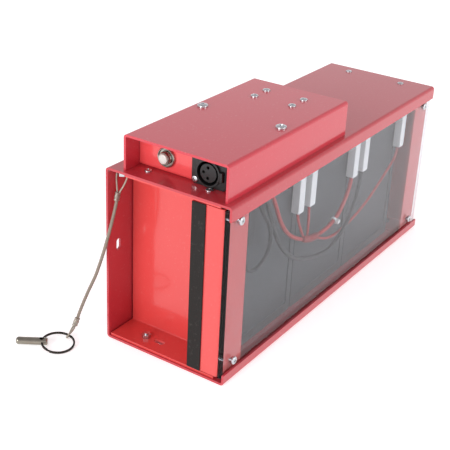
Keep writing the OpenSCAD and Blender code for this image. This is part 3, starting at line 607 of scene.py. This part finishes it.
# ---------------------------------------------------------------- screws
@dataclass
class PanScrew:
    """A pan head screw with a cross recess.

    Sizes are in millimetres; rim is a share of the rise, and the cross's two are shares of the head.
    """

    thread: float
    head: float
    rise: float
    length: float
    pitch: float = 0.7
    point: float = 0.5
    groove: float = 0.3
    slack: float = 0.02
    rim: float = 0.45
    cross_arm: float = 0.54
    cross_width: float = 0.15
    steps: int = 28

    def shape(self) -> bmesh.types.BMesh:
        """Models the screw along Z, its seat at the origin and its head up.

        Returns:
            The closed screw, in metres.
        """
        r, shank = self.head / 2, self.thread / 2
        angles = [math.radians(9 * i) for i in range(10)]
        crown = [(r * math.sin(a) ** 0.6, self.rise * (self.rim + (1 - self.rim) * math.cos(a)))
                 for a in angles]
        body = [(0.0, -self.length), (shank - self.point, -self.length)]
        for i in range(int((self.length - 0.6) / self.pitch)):
            z = -self.length + 0.4 + i * self.pitch
            body += [(shank - self.groove, z), (shank - self.slack, z + self.pitch / 2)]
        body += [(shank - self.slack, 0.0), (r - 0.1, 0.0), (r, 0.1)]
        return cut(lathe(body + crown[::-1], self.steps), self._cross())

    def _cross(self) -> bmesh.types.BMesh:
        """Models the tapered cross that is cut out of the head.

        Returns:
            The cross, in metres.
        """
        arm, width = self.head * self.cross_arm, self.head * self.cross_width
        arms = []
        for turn in (0.0, math.pi / 2):
            bm = block((arm, width, self.rise), (0, 0, self.rise * 0.9))
            low = [v for v in bm.verts if v.co.z < self.rise * 0.6 * MM]
            bmesh.ops.scale(bm, vec=(0.55, 0.6, 1), verts=low)
            arms.append(placed(bm, Matrix.Rotation(turn, 4, "Z")))
        bore = lathe([(0, self.rise * 0.32), (width * 0.5, self.rise * 0.4),
                      (width * 0.95, self.rise * 1.5), (0, self.rise * 1.5)], 12)
        return joined(arms + [bore])


def grid(node: str, inset: Point) -> list[Point]:
    """Places of a node's pieces, which stand at the corners of its box.

    Args:
        node: The CAD node.
        inset: Distance in millimetres from the box's sides to the pieces' centres.

    Returns:
        One point for each corner, in metres; equal corners are given once.
    """
    low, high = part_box(node)
    step = Vector(inset) * MM
    a, b = low + step, high - step
    spots = [(x, y, z) for x in (a.x, b.x) for y in (a.y, b.y) for z in (a.z, b.z)]
    return sorted({(round(x, 5), round(y, 5), round(z, 5)) for x, y, z in spots})


@dataclass
class CaseHardware:
    """Screws, nuts and rivets of the case and the control housing."""

    end_screw: PanScrew = field(default_factory=lambda: PanScrew(4.0, 6.0, 1.5, 8.2))
    window_screw: PanScrew = field(default_factory=lambda: PanScrew(4.0, 7.0, 1.9, 11.2))
    housing_screw: PanScrew = field(default_factory=lambda: PanScrew(5.0, 9.0, 2.4, 10.0, 0.8))
    module_screw: PanScrew = field(default_factory=lambda: PanScrew(3.0, 6.6, 1.9, 9.0, 0.5))
    clock: random.Random = field(default_factory=lambda: random.Random(7))

    def build(self) -> None:
        """Builds every screw and nut that isn't part of a smaller assembly."""
        self._upright("top_end_screws", self.end_screw, "outer_wrap")
        front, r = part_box("window")[0].y, self.window_screw.head / 2
        spots = [(x, front, z) for x, _, z in grid("window_screws", (r, 0, r))]
        self._screws("window_screws", self.window_screw, spots, (0, -1, 0))
        self._upright("housing_screws", self.housing_screw, "top_housing")
        self._upright("module_screws", self.module_screw, "top_housing")
        for node in ("window_nuts", "top_end_nuts", "bottom_end_nuts"):
            softened(node, ZINC, 0.25)
        softened("bottom_end_screws", ZINC, 0.2)
        softened("housing_standoffs", ZINC, 0.3)
        softened("panel_rivets", ALUMINIUM, 0.3)

    def _upright(self, node: str, screw: PanScrew, under: str) -> None:
        """Builds one node's screws, heads up on a piece's top.

        Args:
            node: The CAD node they stand for.
            screw: Their sizes.
            under: The node that they are screwed into.
        """
        top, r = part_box(under)[1].z, screw.head / 2
        spots = [(x, y, top) for x, y, _ in grid(node, (r, r, 0))]
        self._screws(node, screw, spots, (0, 0, 1))

    def _screws(self, node: str, screw: PanScrew, spots: Sequence[Point], way: Point) -> None:
        """Builds one node's screws, each turned its own way.

        Args:
            node: The CAD node they stand for.
            screw: Their sizes.
            spots: The middles of their seats, in metres.
            way: The direction their heads point.
        """
        unique = sorted({tuple(round(c, 5) for c in spot) for spot in spots})
        turns = [Matrix.Rotation(self.clock.uniform(0, math.pi), 4, "Z") for _ in unique]
        places = [aimed(Vector(spot), way) @ turn for spot, turn in zip(unique, turns)]
        finished(node + "_piece", copies(screw.shape(), places), ZINC, CASE, [node])


# ---------------------------------------------------------------- case
@dataclass
class CaseShell:
    """The folded wrap, the two end frames, the window and the grip strip."""

    sheet_edge: float = 0.3
    window_edge: float = 0.35
    air: float = 0.06

    def build(self) -> None:
        """Builds the shell's pieces."""
        softened("outer_wrap", WRAP_PAINT_SHADED, self.sheet_edge)
        for end in ("near", "far"):
            softened(end + "_end_frame", FRAME_PAINT_SHADED, self.sheet_edge)
        self._window()
        self._strip()

    def _window(self) -> None:
        """Builds the window with a hair of air between it and what it stands against."""
        piece = softened("window", SMOKED, self.window_edge)
        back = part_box("window")[1].y
        for vert in piece.data.vertices:
            if vert.co.y > back - 0.01 * MM:
                vert.co.y = back - self.air * MM

    def _strip(self) -> None:
        """Builds the pile strip with rounded corners and a napped face."""
        low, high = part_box("grip_strip")
        size = (high - low) / MM
        bm = block(tuple(size), tuple((low + high) / 2 / MM), 0.35)
        finished("grip_strip_piece", bm, STRIP, CASE, ["grip_strip"])


# ---------------------------------------------------------------- control housing
@dataclass
class ControlHousing:
    """The cover on the case, its front panel and the module under its roof."""

    sheet_edge: float = 0.3

    def build(self) -> None:
        """Builds the housing's pieces."""
        softened("top_housing", HOUSING_PAINT_SHADED, self.sheet_edge)
        softened("control_panel", PANEL_PAINT, self.sheet_edge)
        softened("power_module", DARK, 0.4)


@dataclass
class Breaker:
    """The push-to-reset breaker; sizes in millimetres."""

    button: float = 8.0
    dome: float = 1.0
    dish: float = 0.35
    bushing: float = 10.6
    flange_d: float = 14.0
    flange_t: float = 1.5
    pitch: float = 1.0
    nut: float = 16.0
    nut_dish: float = 1.15
    nut_dish_w: float = 1.3
    notches: int = 4

    def build(self) -> None:
        """Builds the breaker's pieces."""
        softened("breaker_body", DARK, 0.4)
        self._bushing()
        self._ring_nut()
        self._button()
        dressed("breaker_spring", SPRING)
        softened("breaker_terminals", BRASS, 0.12)

    def _from_inside(self, node: str) -> Matrix:
        """Finds where a turned piece starts, at its inner end and on its own axis.

        Args:
            node: The CAD node.

        Returns:
            The matrix that points Z out of the panel from there.
        """
        middle = centre_of(node)
        return aimed(Vector((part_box(node)[1].x, middle.y, middle.z)), (-1, 0, 0))

    def _bushing(self) -> None:
        """Builds the threaded bushing with its flange and bore."""
        low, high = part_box("breaker_bushing")
        length, r, bore = (high.x - low.x) / MM, self.bushing / 2, self.button / 2 + 0.1
        flange, rim, edge, root = self.flange_t, self.flange_d / 2, 0.2, r - 0.35
        profile = [(bore, 0), (rim - edge, 0), (rim, edge), (rim, flange - edge),
                   (rim - edge, flange), (root, flange)]
        z = flange + 0.4
        while z + self.pitch < length - 1.0:
            profile += [(root, z), (r, z + self.pitch * 0.45), (r, z + self.pitch * 0.55)]
            z += self.pitch
        profile += [(r - 0.3, length - 0.6), (r - 0.7, length), (bore + 0.2, length),
                    (bore, length - 0.2), (bore, 0)]
        bm = placed(lathe(profile, 48), self._from_inside("breaker_bushing"))
        finished("breaker_bushing_piece", bm, NICKEL, CASE, ["breaker_bushing"])

    def _ring_nut(self) -> None:
        """Builds the round nut with a chamfered, notched rim."""
        low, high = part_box("breaker_nut")
        length, r, bore = (high.x - low.x) / MM, self.nut / 2, self.bushing / 2 + 0.03
        edge, lip, floor = 0.15, bore + self.nut_dish_w, length - self.nut_dish
        profile = [(bore, 0), (r - edge, 0), (r, edge), (r, length - 0.7),
                   (r - edge, length - 0.45), (r - 0.6, length), (r - 0.9, length),
                   (lip + 0.1, length - 0.3), (lip, floor + 0.05), (bore, floor), (bore, 0)]
        bm = lathe(profile, 48)
        turns = [Matrix.Rotation(TURN * i / self.notches, 4, "Z") for i in range(self.notches)]
        notch = [placed(block((1.0, 2.0, 1.2), (r, 0, length)), turn) for turn in turns]
        bm = cut(bm, joined(notch))
        placed(bm, self._from_inside("breaker_nut"))
        finished("breaker_nut_piece", bm, NICKEL, CASE, ["breaker_nut"])

    def _button(self) -> None:
        """Builds the button with a domed, dished end."""
        low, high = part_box("breaker_button")
        length, r = (high.x - low.x) / MM, self.button / 2
        shoulder = length - self.dome
        angles = [math.radians(10 * i) for i in range(9)]
        dome = [(r * math.cos(a), shoulder + self.dome * math.sin(a)) for a in angles]
        profile = [(0, 0), (r - 0.3, 0), (r, 0.3)] + dome + [(0, length - self.dish)]
        bm = placed(lathe(profile, 40), self._from_inside("breaker_button"))
        finished("breaker_button_piece", bm, WHITE_BUTTON, "button", ["breaker_button"])


@dataclass
class PowerSocket:
    """The round three-hole socket with its latch."""

    screw: PanScrew = field(default_factory=lambda: PanScrew(3.0, 5.4, 1.5, 7.0, 0.5))
    screw_turns: tuple[float, float] = (0.4, 1.4)

    def build(self) -> None:
        """Builds the socket's pieces."""
        softened("socket_shell", DARK, 0.3)
        softened("socket_insert", DARK, 0.25)
        softened("socket_contacts", BRASS, 0.1)
        softened("socket_latch", DARK, 0.5, "latch")
        dressed("latch_spring", SPRING)
        softened("socket_nuts", ZINC, 0.2)
        self._screws()

    def _screws(self) -> None:
        """Builds the two screws at opposite corners of the flange."""
        low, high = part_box("socket_screws")
        r = self.screw.head / 2 * MM
        seat = low.x + self.screw.rise * MM
        spots = [Vector((seat, low.y + r, high.z - r)), Vector((seat, high.y - r, low.z + r))]
        places = [aimed(spot, (-1, 0, 0)) @ Matrix.Rotation(turn, 4, "Z")
                  for spot, turn in zip(spots, self.screw_turns)]
        bm = copies(self.screw.shape(), places)
        finished("socket_screws_piece", bm, ZINC, CASE, ["socket_screws"])


# ---------------------------------------------------------------- batteries and wiring
@dataclass
class BatteryPack:
    """Three sealed batteries side by side, their lids to the window."""

    case_edge: float = 1.2
    lid_edge: float = 0.9

    def build(self) -> None:
        """Builds the batteries, their tabs and the foam at both ends."""
        for place in ("near", "middle", "far"):
            softened("battery_" + place, CASE_PLASTIC, self.case_edge, segments=3)
        softened("battery_lids", LID_PLASTIC, self.lid_edge)
        softened("battery_terminals", BRASS, 0.12)
        softened("battery_pads", FOAM, 0.3)


@dataclass
class Wiring:
    """Leads, their connectors, the splice, the tie and the grommet."""

    swell: float = 1.07

    def build(self) -> None:
        """Builds the wiring's pieces."""
        softened("white_connectors", NYLON, 0.5)
        softened("black_connector", DARK, 0.5)
        softened("connector_receptacles", BRASS, 0.15)
        softened("grommet", GASKET, 0.4, segments=3)
        softened("lead_tie", NYLON, 0.25)
        for node, finish, d in (
            ("main_red_lead", RED_WIRE, 3.8), ("branch_red_leads", RED_WIRE, 2.5),
            ("output_red_lead", RED_WIRE, 2.5), ("main_black_lead", BLACK_WIRE, 3.8),
            ("end_black_lead", BLACK_WIRE, 3.8), ("lead_splice", SLEEVE, 6.2),
        ):
            self._lead(node, finish, d)

    def _lead(self, node: str, finish: Finish, diameter: float) -> None:
        """Rounds a swept CAD lead.

        Args:
            node: The CAD node.
            finish: Its insulation.
            diameter: Its diameter in millimetres.
        """
        bm = merged_copy(node)
        bmesh.ops.join_triangles(bm, faces=bm.faces, angle_face_threshold=0.7,
                                 angle_shape_threshold=3.1)
        bm.normal_update()
        step = diameter / 2 * MM * (self.swell - 1)
        for vert in bm.verts:
            vert.co += vert.normal * step
        piece = finished(node + "_piece", bm, finish, CASE, [node], crease=60.0)
        smooth = piece.modifiers.new("round", "SUBSURF")
        smooth.levels = smooth.render_levels = 1


# ---------------------------------------------------------------- lanyard
FERRULE_RUN: dict[str, tuple[Point, Point]] = {
    "upper": ((-0.1761, 0.0514, 0.1270), (-0.1747, 0.0509, 0.1340)),
    "lower": ((-0.1950, 0.0817, 0.0090), (-0.1922, 0.0808, 0.0156)),
}
LANYARD_ROUTE: tuple[Point, ...] = (
    (-0.1760, 0.0514, 0.1275), (-0.1766, 0.0517, 0.1235), (-0.1775, 0.0523, 0.1185),
    (-0.1788, 0.0531, 0.1120), (-0.1802, 0.0542, 0.1045), (-0.1816, 0.0556, 0.0965),
    (-0.1828, 0.0576, 0.0875), (-0.1837, 0.0601, 0.0780), (-0.1847, 0.0628, 0.0685),
    (-0.1858, 0.0657, 0.0590), (-0.1871, 0.0689, 0.0505), (-0.1884, 0.0722, 0.0420),
    (-0.1895, 0.0753, 0.0335), (-0.1906, 0.0780, 0.0255), (-0.1916, 0.0799, 0.0192),
    (-0.1923, 0.0808, 0.0150),
)
UPPER_LOOP_ROUTE: tuple[Point, ...] = (
    (-0.1748, 0.0501, 0.1332), (-0.1745, 0.0486, 0.1360), (-0.1735, 0.0466, 0.1400),
    (-0.1720, 0.0450, 0.1450), (-0.1706, 0.0446, 0.1486), (-0.1694, 0.0450, 0.1512),
    (-0.1682, 0.0466, 0.1521), (-0.1673, 0.0484, 0.1521), (-0.1670, 0.0500, 0.1521),
    (-0.1673, 0.0516, 0.1521), (-0.1682, 0.0534, 0.1521), (-0.1694, 0.0550, 0.1512),
    (-0.1706, 0.0552, 0.1486), (-0.1720, 0.0548, 0.1450), (-0.1735, 0.0534, 0.1400),
    (-0.1744, 0.0522, 0.1360), (-0.1748, 0.0518, 0.1332),
)
LOWER_LOOP_ROUTE: tuple[Point, ...] = (
    (-0.1949, 0.0810, 0.0094), (-0.1976, 0.0804, 0.0076), (-0.2008, 0.0803, 0.0060),
    (-0.2033, 0.0807, 0.0048), (-0.2046, 0.0818, 0.0028), (-0.2034, 0.0828, 0.0009),
    (-0.2014, 0.0834, 0.0008), (-0.1996, 0.0837, 0.0022), (-0.1982, 0.0835, 0.0046),
    (-0.1964, 0.0830, 0.0074), (-0.1949, 0.0824, 0.0092),
)


def smooth_route(points: Sequence[Point], step: float) -> list[Vector]:
    """Follows a Catmull-Rom curve through given points.

    Args:
        points: The points, in metres.
        step: Distance between the made points, in millimetres.

    Returns:
        Points along the curve, the ends included.
    """
    p = [Vector(q) for q in points]
    made = []
    for i in range(len(p) - 1):
        a, b, c, d = p[max(i - 1, 0)], p[i], p[i + 1], p[min(i + 2, len(p) - 1)]
        n = max(1, round((c - b).length / (step * MM)))
        for j in range(n):
            u = j / n
            made.append(0.5 * (2 * b + (c - a) * u + (2 * a - 5 * b + 4 * c - d) * u ** 2
                               + (3 * b - a - 3 * c + d) * u ** 3))
    return made + [p[-1]]


@dataclass
class Rope:
    """A laid rope: strands twisted round a centre line, under a coat or bare."""

    diameter: float
    strands: int
    lobe: float
    lay: float

    def sweep(self, name: str, route: Sequence[Vector]) -> bmesh.types.BMesh:
        """Sweeps the strands' outline along a route, one turn for each lay length.

        Args:
            name: A name for the scratch curves.
            route: The centre line, in metres.

        Returns:
            The closed rope mesh.
        """
        outline = self._outline(name + "_outline")
        curve = bpy.data.curves.new(name, "CURVE")
        curve.dimensions = "3D"
        curve.twist_mode = "MINIMUM"
        curve.bevel_mode = "OBJECT"
        curve.bevel_object = outline
        curve.use_fill_caps = True
        line = curve.splines.new("POLY")
        line.points.add(len(route) - 1)
        run = 0.0
        for i, place in enumerate(route):
            if i:
                run += (place - route[i - 1]).length
            line.points[i].co = (*place, 1)
            line.points[i].tilt = TURN * run / (self.lay * MM)
        carrier = bpy.data.objects.new(name, curve)
        bpy.context.scene.collection.objects.link(carrier)
        bm = bmesh.new()
        bm.from_mesh(carrier.evaluated_get(bpy.context.evaluated_depsgraph_get()).to_mesh())
        bmesh.ops.remove_doubles(bm, verts=bm.verts, dist=0.001 * MM)
        bmesh.ops.recalc_face_normals(bm, faces=bm.faces)
        for thing in (carrier, outline):
            data = thing.data
            bpy.data.objects.remove(thing)
            bpy.data.curves.remove(data)
        return bm

    def _outline(self, name: str) -> bpy.types.Object:
        """Draws the strands' outline.

        Args:
            name: Its name.

        Returns:
            A flat closed curve.
        """
        curve = bpy.data.curves.new(name, "CURVE")
        curve.dimensions = "2D"
        line = curve.splines.new("POLY")
        count = self.strands * 6
        line.points.add(count - 1)
        for i in range(count):
            a = TURN * i / count
            valley = 0.5 - 0.5 * math.cos(self.strands * a)
            r = self.diameter / 2 * MM * (1 - self.lobe * valley)
            line.points[i].co = (r * math.cos(a), r * math.sin(a), 0, 1)
        line.use_cyclic_u = True
        outline = bpy.data.objects.new(name, curve)
        bpy.context.scene.collection.objects.link(outline)
        return outline


@dataclass
class Lanyard:
    """The coated rope from the anchor to the ring, and the pin on the ring."""

    rope: Rope = field(default_factory=lambda: Rope(2.8, 6, 0.10, 9.0))
    wire: Rope = field(default_factory=lambda: Rope(1.5, 6, 0.22, 6.0))
    ring_d: float = 28.0
    ring_wire: tuple[float, float] = (1.6, 2.2)
    ring_tilt: float = 5.3
    ring_high_side: float = 71.4
    ring_turns: float = 1.97
    ring_steps: int = 180
    ring_start: float = 2.1
    crimp: float = 0.13
    pin_angle: float = 124.0
    pin_d: float = 6.3
    pin_l: float = 26.0
    pin_inner: float = 8.5
    pin_tip: float = 2.2
    pin_hole: float = 3.9
    stud_d: float = 4.0
    stud_pitch: float = 0.7
    stud_flange_d: float = 5.0
    stud_flange_t: float = 0.7

    def build(self) -> None:
        cable = self._rope_piece("lanyard_cable", self.rope, LANYARD_ROUTE, 0.7, ROPE_COAT)
        upper = self._rope_piece("upper_loop", self.wire, UPPER_LOOP_ROUTE, 0.5, WIRE_ROPE)
        lower = self._rope_piece("lower_loop", self.wire, LOWER_LOOP_ROUTE, 0.5, WIRE_ROPE)
        crimps = [self._ferrule(end) for end in ("upper", "lower")]
        ring = self._ring()
        pin = self._pin()
        self._anchor()

    def _rope_piece(self, node: str, rope: Rope, points: Sequence[Point], step: float,
                    finish: Finish) -> bpy.types.Object:
        """Builds one length of rope.

        Args:
            node: The CAD node it stands for.
            rope: Its make.
            points: Its route, in metres.
            step: Distance between its rings, in millimetres.
            finish: What covers it.

        Returns:
            The new piece.
        """
        bm = rope.sweep(node + "_sweep", smooth_route(points, step))
        return finished(node + "_piece", bm, finish, CASE, [node], crease=70.0)

    def _ferrule(self, end: str) -> bpy.types.Object:
        """Builds a crimped sleeve with two pressed waists.

        Args:
            end: Which end of the rope it holds, upper or lower.

        Returns:
            The new piece.
        """
        bm = merged_copy(end + "_ferrule")
        bevelled(bm, [e for e in bm.edges if e.calc_face_angle(0.0) > math.radians(50)], 0.35)
        low, high = (Vector(place) for place in FERRULE_RUN[end])
        axis = (high - low).normalized()
        for share in [0.06 * i for i in range(2, 16)]:
            bmesh.ops.bisect_plane(bm, geom=bm.verts[:] + bm.edges[:] + bm.faces[:],
                                   dist=0.001 * MM, plane_co=low.lerp(high, share), plane_no=axis)
        for vert in bm.verts:
            along = (vert.co - low).dot(axis)
            run = along / (high - low).length
            if 0.1 < run < 0.9:
                press = self.crimp * max(0.0, math.sin(TURN * run * 2 - math.pi / 2))
                heart = low + axis * along
                vert.co = heart + (vert.co - heart) * (1 - press)
        return finished(end + "_ferrule_piece", bm, CRIMP, CASE, [end + "_ferrule"], crease=50.0)

    def _ring(self) -> bpy.types.Object:
        """Builds the split ring as two turns of flat wire.

        Returns:
            The new piece.
        """
        width, height = self.ring_wire[0] * MM, self.ring_wire[1] * MM / 2
        middle = centre_of("split_ring")
        bm = block((self.ring_wire[0], 0.002, self.ring_wire[1] / 2))
        doomed = [f for f in bm.faces if abs(f.normal.y) < 0.9 or f.normal.y > 0]
        bmesh.ops.delete(bm, geom=doomed, context="FACES")
        bevelled(bm, list(bm.verts), 0.3, affect="VERTICES")
        out = (self.ring_d * MM - width) / 2
        bmesh.ops.translate(bm, vec=(out, 0, -height / 2), verts=bm.verts)
        bmesh.ops.spin(bm, geom=list(bm.faces), cent=(0, 0, 0), axis=(0, 0, 1),
                       angle=TURN * self.ring_turns, steps=self.ring_steps,
                       dvec=(0, 0, height / self.ring_steps), use_merge=False)
        bmesh.ops.remove_doubles(bm, verts=bm.verts, dist=0.0005 * MM)
        bmesh.ops.recalc_face_normals(bm, faces=bm.faces)
        turn = (Matrix.Rotation(math.radians(self.ring_high_side), 4, "Z")
                @ Matrix.Rotation(math.radians(-self.ring_tilt), 4, "Y")
                @ Matrix.Rotation(self.ring_start, 4, "Z"))
        placed(bm, Matrix.Translation(middle) @ turn)
        return finished("split_ring_piece", bm, DARK_CHROME, CASE, ["split_ring"])

    def _pin(self) -> bpy.types.Object:
        """Builds the locking pin with a rounded tip and a cross hole.

        Returns:
            The new piece.
        """
        r, end, curve = self.pin_d / 2, self.pin_inner + self.pin_l, self.pin_tip
        tip = [(r - curve + curve * math.cos(a), end - curve + curve * math.sin(a))
               for a in [math.radians(15 * i) for i in range(7)]]
        heel = [(0, self.pin_inner), (r - 0.6, self.pin_inner), (r, self.pin_inner + 0.6)]
        bm = lathe(heel + tip + [(0, end)], 40)
        ring_r = (self.ring_d - self.ring_wire[0]) / 2
        hole = lathe([(0, -5), (self.pin_hole / 2, -5), (self.pin_hole / 2, 5), (0, 5)], 28)
        placed(hole, Matrix.Translation((0, 0, ring_r * MM)) @ Matrix.Rotation(math.pi / 2, 4, "X"))
        bm = cut(bm, hole)
        middle = centre_of("split_ring")
        a = math.radians(self.pin_angle)
        heart = Vector((middle.x, middle.y, centre_of("release_pin").z))
        placed(bm, aimed(heart, (math.cos(a), math.sin(a), 0)))
        return finished("release_pin_piece", bm, PIN_STEEL, "pin", ["release_pin"])

    def _anchor(self) -> None:
        """Builds the stud, washer and nut that hold the lanyard's eye."""
        low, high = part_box("anchor_stud")
        middle = centre_of("anchor_stud")
        length, r, pitch = (high.z - low.z) / MM, self.stud_d / 2, self.stud_pitch
        crest, flange, seat = r - 0.02, self.stud_flange_d / 2, -self.stud_flange_t
        thread = [(0, -length), (r - 0.4, -length)]
        for i in range(int((length - 2.4) / pitch)):
            z = -length + 0.4 + i * pitch
            thread += [(r - 0.3, z), (crest, z + pitch / 2)]
        stud = lathe(thread + [(crest, seat), (flange, seat), (flange, 0), (0, 0)], 28)
        placed(stud, Matrix.Translation((middle.x, middle.y, high.z)))
        finished("anchor_stud_piece", stud, ZINC, CASE, ["anchor_stud"])
        softened("anchor_washer", ZINC, 0.15)
        softened("anchor_nut", ZINC, 0.25)


# ---------------------------------------------------------------- studio
@dataclass
class Studio:
    """The camera, the pale floor and the soft light."""

    eye: Point = (-0.7235, -0.4040, 0.4611)
    azimuth: float = -57.17
    elevation: float = 26.40
    roll: float = 2.85
    lens: float = 79.7
    horizon: float = 1.1
    zenith: float = 0.55
    fade: tuple[float, float] = (0.1, 0.75)
    sky: Colour = (1.0, 0.965, 1.0)
    floor_size: float = 8.0
    floor_drop: float = 0.0002
    floor_shade: float = 0.92
    floor_glow: float = 0.45

    def camera(self) -> None:
        """Makes the camera."""
        a, e, r = (math.radians(v) for v in (self.azimuth, self.elevation, self.roll))
        back = Vector((math.sin(a) * math.cos(e), -math.cos(a) * math.cos(e), math.sin(e)))
        right = (-back).cross(Vector((0, 0, 1))).normalized()
        up = right.cross(-back)
        right_rolled = right * math.cos(r) + up * math.sin(r)
        up_rolled = up * math.cos(r) - right * math.sin(r)
        data = bpy.data.cameras.new("camera")
        data.lens = self.lens
        data.sensor_width = 36.0
        data.clip_start, data.clip_end = 0.01, 50.0
        camera = bpy.data.objects.new("camera", data)
        camera.matrix_world = Matrix((
            (right_rolled.x, up_rolled.x, back.x, self.eye[0]),
            (right_rolled.y, up_rolled.y, back.y, self.eye[1]),
            (right_rolled.z, up_rolled.z, back.z, self.eye[2]),
            (0, 0, 0, 1),
        ))
        bpy.context.scene.collection.objects.link(camera)
        bpy.context.scene.camera = camera

    def floor(self) -> None:
        """Makes the pale floor."""
        bm = bmesh.new()
        bmesh.ops.create_grid(bm, x_segments=1, y_segments=1, size=self.floor_size)
        bmesh.ops.translate(bm, vec=(0, 0, -self.floor_drop), verts=bm.verts)
        mesh = bpy.data.meshes.new("floor")
        bm.to_mesh(mesh)
        bm.free()
        floor = bpy.data.objects.new("floor", mesh)
        bpy.context.scene.collection.objects.link(floor)
        material = bpy.data.materials.new("floor_paper")
        material.use_nodes = True
        shader = material.node_tree.nodes["Principled BSDF"]
        shader.inputs["Base Color"].default_value = (*[self.floor_shade] * 3, 1)
        shader.inputs["Roughness"].default_value = 0.9
        shader.inputs["Emission Color"].default_value = (1, 1, 1, 1)
        shader.inputs["Emission Strength"].default_value = self.floor_glow
        mesh.materials.append(material)

    def light(self) -> None:
        """Makes the world, bright round the horizon, and the lamps."""
        bpy.context.scene.view_settings.view_transform = "Standard"
        world = bpy.data.worlds.new("studio")
        world.use_nodes = True
        nodes, links = world.node_tree.nodes, world.node_tree.links
        place, split = nodes.new("ShaderNodeTexCoord"), nodes.new("ShaderNodeSeparateXYZ")
        fade = nodes.new("ShaderNodeMapRange")
        fade.inputs["From Min"].default_value = self.fade[0]
        fade.inputs["From Max"].default_value = self.fade[1]
        fade.inputs["To Min"].default_value = self.horizon
        fade.inputs["To Max"].default_value = self.zenith
        sky = nodes["Background"]
        sky.inputs["Color"].default_value = (*self.sky, 1)
        links.new(place.outputs["Generated"], split.inputs["Vector"])
        links.new(split.outputs["Z"], fade.inputs["Value"])
        links.new(fade.outputs["Result"], sky.inputs["Strength"])
        bpy.context.scene.world = world
        self._lamp("front_lamp", (-2.1, 0.25, 0.75), 1.0, 22.0)
        self._lamp("window_lamp", (0.3, -2.0, 0.9), 1.2, 13.0)

    def _lamp(self, name: str, place: Point, size: float, power: float) -> None:
        """Makes one square lamp aimed at the case.

        Args:
            name: Its name.
            place: Where it stands, in metres.
            size: Its side, in metres.
            power: Its power, in watts.
        """
        data = bpy.data.lights.new(name, "AREA")
        data.shape = "SQUARE"
        data.size = size
        data.energy = power
        lamp = bpy.data.objects.new(name, data)
        aim = Vector(place) - Vector((0, 0, 0.08))
        lamp.matrix_world = aimed(Vector(place), aim)
        bpy.context.scene.collection.objects.link(lamp)


def main() -> None:
    """Loads the frame and builds every sub-assembly."""
    logging.basicConfig(level=logging.INFO, format="%(name)s: %(message)s")
    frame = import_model()
    LOG.info("frame has %d nodes", len(frame["nodes"]))
    studio = Studio()
    studio.camera()
    builders: list[Callable[[], None]] = [
        Lanyard().build, CaseShell().build, CaseHardware().build, ControlHousing().build,
        Breaker().build, PowerSocket().build, BatteryPack().build, Wiring().build,
        studio.floor, studio.light,
    ]
    for build in builders:
        build()


if __name__ == "__main__":
    main()
